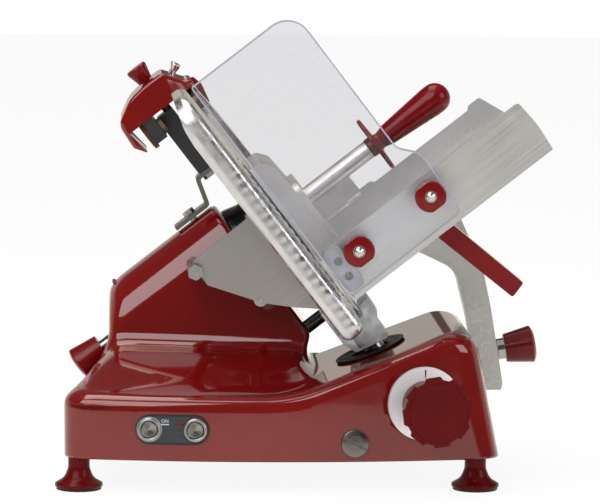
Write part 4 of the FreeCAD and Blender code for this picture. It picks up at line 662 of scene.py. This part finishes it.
def outside_faces(points, faces):
    """Triangles of the casting's outer skin, without the seats, pockets and bores cut into it."""
    corners = points[faces]
    centre = corners.mean(axis=1)
    across = np.cross(corners[:, 1] - corners[:, 0], corners[:, 2] - corners[:, 0])
    across /= np.maximum(np.linalg.norm(across, axis=1, keepdims=True), 1e-9)
    slope = slope_of(centre, 0.0)
    slope /= np.maximum(np.linalg.norm(slope, axis=1, keepdims=True), 1e-9)
    depth = np.abs(casting_distance(centre, 0.0))
    outer = (depth < SKIN_DEPTH) & ((across * slope).sum(axis=1) > SKIN_FACING)
    outer &= centre[:, 2] > BASE_BOTTOM + UNDERSIDE_ROOM
    n, y, u = in_head(centre, HEAD_SPOT).T
    relief = np.abs(np.hypot(y, u) - RELIEF_RADIUS) < RELIEF_ROOM
    outer &= ~(relief & (n > RELIEF_FROM) & (n < RELIEF_TO))
    for name, room in SEAT_ROOM.items():
        low, high = (np.array(corner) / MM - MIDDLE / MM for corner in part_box(name))
        inside = ((centre > low - room) & (centre < high + room)).all(axis=1)
        if name == "index_ring":
            middle, radius = (low + high) / 2, (high[0] - low[0]) / 2 + room
            inside &= np.hypot(centre[:, 0] - middle[0], centre[:, 2] - middle[2]) < radius
        outer &= ~inside | (depth < SEAT_DEPTH)
    return outer


def node_mesh(name, spot=0.0, digits=4):
    """Points in mm from a spot, and triangles, of a CAD node, with its doubled points joined."""
    source = frame["nodes"][name].data
    source.calc_loop_triangles()
    points = np.array([vertex.co[:] for vertex in source.vertices]) / MM - spot
    faces = np.array([triangle.vertices[:] for triangle in source.loop_triangles])
    points, inverse = np.unique(np.round(points, digits), axis=0, return_inverse=True)
    return points, inverse.reshape(-1)[faces]


def smooth(mesh, angle):
    mesh.polygons.foreach_set("use_smooth", [True] * len(mesh.polygons))
    mesh.set_sharp_from_angle(angle=math.radians(angle))


def place_piece(name, mesh, material, body):
    mesh.materials.append(material)
    piece = bpy.data.objects.new(name, mesh)
    bpy.context.scene.collection.objects.link(piece)
    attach(piece, body)
    return piece


def make_casting():
    points, faces = node_mesh("base_casting", MIDDLE / MM)
    outer = outside_faces(points, faces)
    points, faces, outer = refine(points, faces, outer, MESH_STEP)
    moved = np.unique(faces[outer])
    for _ in range(SETTLING_STEPS):
        slope = slope_of(points[moved])
        length = np.maximum((slope * slope).sum(axis=1), 0.2)
        points[moved] -= (casting_distance(points[moved]) / length)[:, None] * slope
    mesh = bpy.data.meshes.new("soft_base_casting")
    mesh.from_pydata(((points + MIDDLE / MM) * MM).tolist(), [], faces.tolist())
    smooth(mesh, 35)
    normals = np.zeros((len(points), 3))
    slope = slope_of(points[moved])
    normals[moved] = slope / np.maximum(np.linalg.norm(slope, axis=1, keepdims=True), 1e-9)
    corner_normals = normals[faces]
    corner_normals[~outer] = 0
    mesh.normals_split_custom_set(corner_normals.reshape(-1, 3).tolist())
    piece = place_piece("soft_base_casting", mesh, RED_ENAMEL, "frame")
    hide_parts("base_casting")


# Small details: rings round the keys, their legends, the ring's mark, screws and the guard's edge line

LETTER_HEIGHT, LETTER_SIDE, LETTER_UP = 3.4, 15.7, 8.6
FONT_SHARE, LETTER_RAISED, LETTER_BOLD = 1.42, 0.06, 0.04
LINE_DROP, LINE_HALF_HEIGHT, LINE_HALF = 3.3, 0.6, {"ON": 4.2, "OFF": 4.7}
LEGEND_DEPTH, LEGEND_LIFT, LEGEND_RING_OUT, LEGEND_RING_IN = 0.12, 0.01, 12.75, 12.15
MARK_RADIUS, MARK_STEM, MARK_OUT, MARK_HALF, MARK_TIP = 31.0, 4.0, 3.2, 0.55, 0.8
MARK_DEPTH, MARK_SUNK = 0.2, 0.05
SCREW_RADIUS, SCREW_HEIGHT, SCREW_SUNK, SCREW_RIM, RIM_BREAK = 4.2, 3.6, 0.2, 0.5, 0.15
SCREW_SOCKET, SOCKET_FLOOR = 2.3, 0.45
SCREW_SPOTS = [(19.3, -47.8), (18.9, -66.2)]
BEZEL_INNER, BEZEL_OUTER, BEZEL_CROWN = 8.35, 12.0, 1.8
EDGE_WIDTH, EDGE_RISE, EDGE_SUNK = 1.5, 0.17, 0.05


def frame_at(spot, across, up, out):
    """Matrix that puts x across, y up and z out of a surface at a spot."""
    turn = Matrix((across, up, out)).transposed().to_4x4()
    return Matrix.Translation(spot) @ turn


def bar_mesh(name, corners, depth, where):
    """Flat bar with the given outline and depth in mm."""
    shape = bmesh.new()
    ring = [shape.verts.new((x * MM, y * MM, 0)) for x, y in corners]
    face = shape.faces.new(ring)
    raised = bmesh.ops.extrude_face_region(shape, geom=[face])
    for vertex in raised["geom"]:
        if isinstance(vertex, bmesh.types.BMVert):
            vertex.co.z += depth * MM
    return finished(shape, name, where)


def finished(shape, name, where, sharp=None):
    """Mesh of a finished shape, moved to its place, and smooth where it turns by less than sharp degrees."""
    bmesh.ops.recalc_face_normals(shape, faces=shape.faces)
    shape.transform(where)
    mesh = bpy.data.meshes.new(name)
    shape.to_mesh(mesh)
    shape.free()
    if sharp:
        smooth(mesh, sharp)
    return mesh


def word_mesh(name, word, where):
    """Raised lettering, centred on the matrix."""
    curve = bpy.data.curves.new(name, "FONT")
    curve.body = word
    curve.size = LETTER_HEIGHT * FONT_SHARE * MM
    curve.align_x, curve.align_y = "CENTER", "CENTER"
    curve.extrude = LETTER_RAISED * MM
    curve.offset = LETTER_BOLD * MM
    holder = bpy.data.objects.new(name + "_curve", curve)
    bpy.context.scene.collection.objects.link(holder)
    bpy.context.view_layer.update()
    seen = holder.evaluated_get(bpy.context.evaluated_depsgraph_get())
    mesh = bpy.data.meshes.new_from_object(seen)
    mesh.transform(where)
    bpy.data.objects.remove(holder)
    bpy.data.curves.remove(curve)
    return mesh


def arc_points(radius, first, last, steps):
    turns = [math.radians(first + (last - first) * step / steps) for step in range(steps + 1)]
    return [(radius * math.cos(turn), radius * math.sin(turn)) for turn in turns]


def make_legends():
    """Words beside the keys, each on a line, and a thin ring round each key."""
    level = reach("switch_panel", PANEL_CENTRE, PANEL_OUT) + LEGEND_LIFT * MM
    for word, key, side, material, slot in (("ON", KEY_ON, 1, LEGEND_PALE, "black_plastic"),
                                            ("OFF", KEY_OFF, -1, LEGEND_RED, "red_plastic")):
        name = word.lower()
        lift = PANEL_CENTRE + PANEL_OUT * level
        spot = key + PANEL_OUT * (lift - key).dot(PANEL_OUT)
        middle = spot + (PANEL_ACROSS * side * LETTER_SIDE + PANEL_UP * LETTER_UP) * MM
        half, rise = LINE_HALF[word], LINE_HALF_HEIGHT
        line = [(-half, -rise), (half, -rise), (half, rise), (-half, rise)]
        ring = [(LEGEND_RING_OUT, 0.0), (LEGEND_RING_OUT, LEGEND_DEPTH), (LEGEND_RING_IN, LEGEND_DEPTH),
                (LEGEND_RING_IN, 0.0)]
        where, under, around = (frame_at(place, PANEL_ACROSS, PANEL_UP, PANEL_OUT)
                                for place in (middle, middle - PANEL_UP * LINE_DROP * MM, spot))
        shapes = {"word": word_mesh(f"{name}_word", word, where),
                  "line": bar_mesh(f"{name}_line", line, LEGEND_DEPTH, under),
                  "ring": ring_mesh(f"{name}_ring", ring, 72, around)}
        for part, mesh in shapes.items():
            place_piece(f"{name}_{part}", mesh, material, "frame")


def make_ring_mark():
    """Dark mark at the top of the index ring, round at its outer end."""
    across = Vector((0, 0, 1)).cross(INDEX_OUT).normalized() * -1
    up = across.cross(INDEX_OUT).normalized()
    up = up if up.z > 0 else -up
    across = up.cross(INDEX_OUT).normalized()
    level = reach("index_ring", INDEX_SPOT, INDEX_OUT) - MARK_SUNK * MM
    middle = INDEX_SPOT + INDEX_OUT * level + up * MARK_RADIUS * MM
    mark = [(x, y + MARK_OUT) for x, y in arc_points(MARK_TIP, 0, 180, 8)]
    mark += [(-MARK_HALF, -MARK_STEM), (MARK_HALF, -MARK_STEM)]
    mesh = bar_mesh("index_ring_mark", mark, MARK_DEPTH, frame_at(middle, across, up, INDEX_OUT))
    place_piece("index_ring_mark", mesh, INK, "frame")


def screw_mesh(name, where):
    """Cylinder-head screw with a rounded rim and a hexagon socket."""
    radius, height = SCREW_RADIUS, SCREW_HEIGHT
    profile = [(radius, 0.0), (radius, height - SCREW_RIM), (radius - RIM_BREAK, height - RIM_BREAK),
               (radius - SCREW_RIM, height)]
    shape = bmesh.new()
    count = 36
    turns = [2 * math.pi * step / count for step in range(count)]
    flat = SCREW_SOCKET * math.cos(math.pi / 6)
    hexagon = [flat / math.cos(turn % (math.pi / 3) - math.pi / 6) for turn in turns]

    def ring(outs, level):
        return [shape.verts.new((out * math.cos(turn), out * math.sin(turn), level))
                for turn, out in zip(turns, outs)]

    rings = [ring([out] * count, level) for out, level in profile]
    rings += [ring(hexagon, height), ring(hexagon, height * SOCKET_FLOOR)]
    for low, high in zip(rings, rings[1:]):
        for step in range(count):
            after = (step + 1) % count
            shape.faces.new((low[step], low[after], high[after], high[step]))
    shape.faces.new(rings[-1])
    shape.faces.new(rings[0][::-1])
    bmesh.ops.scale(shape, vec=(MM, MM, MM), verts=shape.verts)
    return finished(shape, name, where, 30)


def make_tray_screws():
    out = Vector((0, -1, 0))
    level = reach("tray_bracket", BLADE_CENTRE, out)
    for index, (n, u) in enumerate(SCREW_SPOTS):
        spot = BLADE_CENTRE + (ALONG_N * n + ALONG_U * u) * MM + out * (level - SCREW_SUNK * MM)
        name = f"tray_bracket_screw_{index + 1}"
        mesh = screw_mesh(name, frame_at(spot, ALONG_N, ALONG_U, out))
        place_piece(name, mesh, SCREW_STEEL, "carriage")


def ring_mesh(name, profile, count, where):
    """Ring turned from a closed profile of radius and height in mm."""
    shape = bmesh.new()
    turns = [2 * math.pi * step / count for step in range(count)]
    rings = [[shape.verts.new((radius * math.cos(turn) * MM, radius * math.sin(turn) * MM, level * MM))
              for turn in turns] for radius, level in profile]
    for first, second in zip(rings, rings[1:] + rings[:1]):
        for step in range(count):
            after = (step + 1) % count
            shape.faces.new((first[step], first[after], second[after], second[step]))
    return finished(shape, name, where, 40)


def make_bezels():
    """Rounded satin rings round the two keys, in place of the plain ones."""
    low = min((point - PANEL_CENTRE).dot(PANEL_OUT) for point in node_points("button_bezels"))
    height = (reach("button_bezels", PANEL_CENTRE, PANEL_OUT) - low) / MM
    middle, half = (BEZEL_INNER + BEZEL_OUTER) / 2, (BEZEL_OUTER - BEZEL_INNER) / 2
    crown = [(middle + half * math.cos(turn), height - BEZEL_CROWN + BEZEL_CROWN * math.sin(turn))
             for turn in (math.radians(15 * step) for step in range(13))]
    profile = [(BEZEL_OUTER, 0.0)] + crown + [(BEZEL_INNER, 0.0)]
    for place, key in (("on", KEY_ON), ("off", KEY_OFF)):
        spot = key + PANEL_OUT * (low - (key - PANEL_CENTRE).dot(PANEL_OUT))
        where = frame_at(spot, PANEL_ACROSS, PANEL_UP, PANEL_OUT)
        mesh = ring_mesh(f"{place}_bezel", profile, 96, where)
        place_piece(f"{place}_bezel", mesh, BEZEL_STEEL, "frame")
    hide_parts("button_bezels")


def outer_loop(points, faces):
    """Corner numbers round the outline that holds the highest point, in order."""
    sides = np.sort(faces[:, [[0, 1], [1, 2], [2, 0]]].reshape(-1, 2), axis=1)
    edges, count = np.unique(sides, axis=0, return_counts=True)
    beside = {}
    for first, second in edges[count == 1]:
        beside.setdefault(first, []).append(second)
        beside.setdefault(second, []).append(first)
    start = max(beside, key=lambda index: points[index, 2])
    loop = [start, beside[start][0]]
    while loop[-1] != start:
        pair = beside[loop[-1]]
        loop.append(pair[0] if pair[0] != loop[-2] else pair[1])
    return loop[:-1]


def drawn_in(outer, width):
    """A closed outline drawn in by a width."""
    along = np.roll(outer, -1, axis=0) - outer
    turn = np.stack([-along[:, 1], along[:, 0]], axis=1) / np.linalg.norm(along, axis=1, keepdims=True)
    inward = turn + np.roll(turn, 1, axis=0)
    inward /= np.maximum((inward * inward).sum(axis=1, keepdims=True) / 2, 0.5)
    area = (outer[:, 0] * np.roll(outer[:, 1], -1) - outer[:, 1] * np.roll(outer[:, 0], -1)).sum()
    return outer + inward * (width if area > 0 else -width)


def make_guard_edge():
    """Pale frosted line along the cut edge of the clear guard, on both its faces."""
    points, faces = node_mesh("finger_guard", digits=3)
    local = in_head(points)
    front, back = local[:, 1].min(), local[:, 1].max()
    flat = faces[(np.abs(local[faces][:, :, 1] - front) < 0.02).all(axis=1)]
    outer = local[outer_loop(local, flat)][:, [0, 2]]
    inner = drawn_in(outer, EDGE_WIDTH)
    total = len(outer)
    made, walls = [], []
    for level, rise in ((front + EDGE_SUNK, -EDGE_RISE), (back - EDGE_SUNK, EDGE_RISE)):
        base = len(made)
        for ring, y in ((outer, level), (outer, level + rise), (inner, level + rise), (inner, level)):
            made += [(n, y, u) for n, u in ring]
        for band in range(4):
            low, high = base + band * total, base + (band + 1) % 4 * total
            for step in range(total):
                after = (step + 1) % total
                walls.append((low + step, low + after, high + after, high + step))
    mesh = bpy.data.meshes.new("guard_edge_line")
    mesh.from_pydata(from_head(np.array(made)), [], walls)
    shape = bmesh.new()
    shape.from_mesh(mesh)
    bmesh.ops.recalc_face_normals(shape, faces=shape.faces)
    shape.to_mesh(mesh)
    shape.free()
    place_piece("guard_edge_line", mesh, CUT_EDGE, "carriage")


def make_details():
    make_bezels()
    make_guard_edge()
    make_legends()
    make_ring_mark()
    make_tray_screws()


# Gauge plate. The flutes of its face run out over the rounded front flange and fade on its side.

FLUTE_PITCH, FLUTE_COUNT, FLUTE_SHIFT, FLUTE_DEPTH = 10.5, 19, -10.0, 0.5
FLUTE_HALF_REACH, FLUTE_STEP = 112.0, 1.8
FADE_IN, FADE_IN_RUN, FADE_OUT, FADE_OUT_RUN = -19.0, 15.0, -0.2, 2.5
FLANGE_FRONT, FLANGE_ROUND = -245.0, 9.0


def flute_depth(n, y, u):
    """How far the flange is drawn in at a point of the head frame, in mm."""
    centre = (u - FLUTE_SHIFT) / FLUTE_PITCH
    wave = 0.5 + 0.5 * np.cos(2 * math.pi * centre)
    ends = np.clip((FLUTE_COUNT / 2 - np.abs(centre)) * 2, 0, 1)
    fade = np.clip((n - FADE_IN) / FADE_IN_RUN, 0, 1) * np.clip((FADE_OUT - n) / FADE_OUT_RUN, 0, 1)
    front = np.clip((FLANGE_FRONT + FLANGE_ROUND + 1 - y) / 4, 0, 1)
    return FLUTE_DEPTH * wave * ends * fade * fade * (3 - 2 * fade) * front


def make_gauge_plate():
    points, faces = node_mesh("gauge_plate")
    local = in_head(points)
    corners = local[faces]
    centre = corners.mean(axis=1)
    flange = centre[:, 1] < FLANGE_FRONT + FLANGE_ROUND + 2
    flange &= np.abs(centre[:, 2] - FLUTE_SHIFT) < FLUTE_HALF_REACH
    flange &= np.cross(corners[:, 1] - corners[:, 0], corners[:, 2] - corners[:, 0])[:, 1] < 0
    local, faces, flange = refine(local, faces, flange, FLUTE_STEP)
    moved = np.unique(faces[flange])
    n, y, u = local[moved].T
    local[moved, 1] += flute_depth(n, y, u)
    mesh = bpy.data.meshes.new("fluted_gauge_plate")
    mesh.from_pydata(from_head(local), [], faces.tolist())
    smooth(mesh, 38)
    piece = place_piece("fluted_gauge_plate", mesh, POLISHED, "gauge")
    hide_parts("gauge_plate")


# Floor, light and camera

FLOOR_BACK, FLOOR_FRONT, FLOOR_SIDE = 7.0, -3.1, 6.0
FLOOR_WHITE, FLOOR_WARM, WALL_CREAM = (0.94, 0.94, 0.94, 1.0), (1.0, 0.97, 0.88, 1.0), (1, 0.94, 0.84, 1)
WHITE = (1, 1, 1, 1)
FLOOR_GLOW, WORLD_LIGHT, ROOM_DARK, WALL_LIGHT, ROOM_TOP = 0.89, 0.62, 0.1, 0.6, 0.4
WALL_START, WALL_END, CEILING = (-0.1, 0.3), (0.28, 0.48), (0.75, 0.97)
LEFT_STRIP_END, RIGHT_STRIP_START, BETWEEN = (0.004, 0.018), (0.075, 0.095), 0.12
LIGHT_AIM = Vector((0, 0, 0.2))


def make_floor():
    """White floor with a faint shadow; metal and enamel see it warm, and it ends before the camera."""
    mesh = bpy.data.meshes.new("floor")
    corners = [(-FLOOR_SIDE, FLOOR_FRONT, 0), (FLOOR_SIDE, FLOOR_FRONT, 0), (FLOOR_SIDE, FLOOR_BACK, 0),
               (-FLOOR_SIDE, FLOOR_BACK, 0)]
    mesh.from_pydata(corners, [], [(0, 1, 2, 3)])
    floor = bpy.data.objects.new("floor", mesh)
    bpy.context.scene.collection.objects.link(floor)
    made = Shader("floor_white", Roughness=0.9, Specular_IOR_Level=0.0)
    made.colour(FLOOR_WHITE)
    path = made.node("ShaderNodeLightPath").outputs
    seen = made.maths("MAXIMUM", path["Is Camera Ray"], path["Is Transmission Ray"])
    lit = made.surface.outputs["BSDF"]
    glow = made.node("ShaderNodeEmission", {"Color": WHITE, "Strength": 1.0}).outputs[0]
    pale = made.node("ShaderNodeMixShader", {0: FLOOR_GLOW, 1: lit, 2: glow}).outputs[0]
    plain = made.node("ShaderNodeMixShader", {0: seen, 1: lit, 2: pale}).outputs[0]
    warm = made.node("ShaderNodeEmission", {"Color": FLOOR_WARM, "Strength": 1.0}).outputs[0]
    mirrored = made.maths("GREATER_THAN", made.maths("SUBTRACT", path["Is Glossy Ray"], seen), 0.5)
    whole = made.node("ShaderNodeMixShader", {0: mirrored, 1: plain, 2: warm}).outputs[0]
    made.feed(made.output.inputs["Surface"], whole)
    mesh.materials.append(made.material)


def make_world():
    """White to the camera. Metal and enamel see a dark room with cream strips behind and a dim ceiling."""
    world = bpy.data.worlds.new("studio")
    bpy.context.scene.world = world
    world.use_nodes = True
    tree = world.node_tree
    tree.nodes.clear()

    def node(kind, links=None, **settings):
        return add_node(tree, kind, links, **settings).outputs

    def ramp(source, span, low, high):
        links = {"Value": source, "From Min": span[0], "From Max": span[1], "To Min": low, "To Max": high}
        return node("ShaderNodeMapRange", links, interpolation_type="SMOOTHSTEP")[0]

    def maths(operation, first, second):
        return node("ShaderNodeMath", {0: first, 1: second}, operation=operation)[0]

    def background(colour, strength):
        return node("ShaderNodeBackground", {"Color": colour, "Strength": strength})[0]

    way = node("ShaderNodeSeparateXYZ", {0: node("ShaderNodeTexCoord")["Generated"]})
    low = ramp(way["Z"], WALL_END, 1.0, 0.0)
    left, right = ramp(way["X"], LEFT_STRIP_END, 1.0, BETWEEN), ramp(way["X"], RIGHT_STRIP_START, 0.0, 1.0)
    strips = maths("MAXIMUM", left, right)
    behind = maths("MULTIPLY", ramp(way["Y"], WALL_START, 0.0, WALL_LIGHT), strips)
    above = ramp(way["Z"], CEILING, ROOM_DARK, ROOM_TOP)
    mirrored = maths("MAXIMUM", maths("MULTIPLY", behind, low), above)
    path = node("ShaderNodeLightPath")
    seen = maths("MAXIMUM", path["Is Camera Ray"], path["Is Transmission Ray"])
    lighting, mirror = background(WHITE, WORLD_LIGHT), background(WALL_CREAM, mirrored)
    dim = node("ShaderNodeMixShader", {0: path["Is Glossy Ray"], 1: lighting, 2: mirror})[0]
    whole = node("ShaderNodeMixShader", {0: seen, 1: dim, 2: background(WHITE, 1.0)})[0]
    node("ShaderNodeOutputWorld", {"Surface": whole})


def softbox(name, place, width, height, power, colour=(1, 1, 1)):
    """Rectangular lamp at a place, turned to the middle of the machine."""
    data = bpy.data.lights.new(name, "AREA")
    data.shape = "RECTANGLE"
    data.size, data.size_y = width, height
    data.energy = power
    data.color = colour
    lamp = bpy.data.objects.new(name, data)
    bpy.context.scene.collection.objects.link(lamp)
    lamp.location = place
    lamp.rotation_mode = "QUATERNION"
    lamp.rotation_quaternion = (LIGHT_AIM - Vector(place)).to_track_quat("-Z", "Y")


def make_lights():
    softbox("key", (-1.6, -2.2, 2.4), 2.6, 2.0, 60)
    softbox("fill", (2.4, -1.6, 1.5), 1.6, 1.6, 24)
    softbox("top", (-0.4, 0.15, 2.4), 1.8, 1.4, 30, (1.0, 0.9, 0.78))


# The camera stands a little left of the object, looks slightly right and down, and is rolled a little.
CAMERA_PLACE = Vector((-0.23158, -4.14790, 0.72206))
CAMERA_YAW, CAMERA_PITCH, CAMERA_ROLL = (math.radians(angle) for angle in (3.2, 6.8, 0.625))
FOCAL_PIXELS, IMAGE_WIDTH, SENSOR = 4000, 600, 36.0


def make_camera():
    data = bpy.data.cameras.new("camera")
    data.sensor_width = SENSOR
    data.lens = SENSOR * FOCAL_PIXELS / IMAGE_WIDTH
    camera = bpy.data.objects.new("camera", data)
    bpy.context.scene.collection.objects.link(camera)
    forward = Vector((math.sin(CAMERA_YAW) * math.cos(CAMERA_PITCH),
                      math.cos(CAMERA_YAW) * math.cos(CAMERA_PITCH), -math.sin(CAMERA_PITCH)))
    right = Vector((math.cos(CAMERA_YAW), -math.sin(CAMERA_YAW), 0))
    up = right.cross(forward)
    side = right * math.cos(CAMERA_ROLL) + up * math.sin(CAMERA_ROLL)
    top = up * math.cos(CAMERA_ROLL) - right * math.sin(CAMERA_ROLL)
    turn = Matrix((side, top, -forward)).transposed()
    camera.matrix_world = Matrix.Translation(CAMERA_PLACE) @ turn.to_4x4()
    data.clip_start, data.clip_end = 0.1, 60
    bpy.context.scene.camera = camera


make_casting()
make_gauge_plate()
make_details()
make_floor()
make_world()
make_lights()
make_camera()
bpy.context.scene.view_settings.view_transform = "Standard"
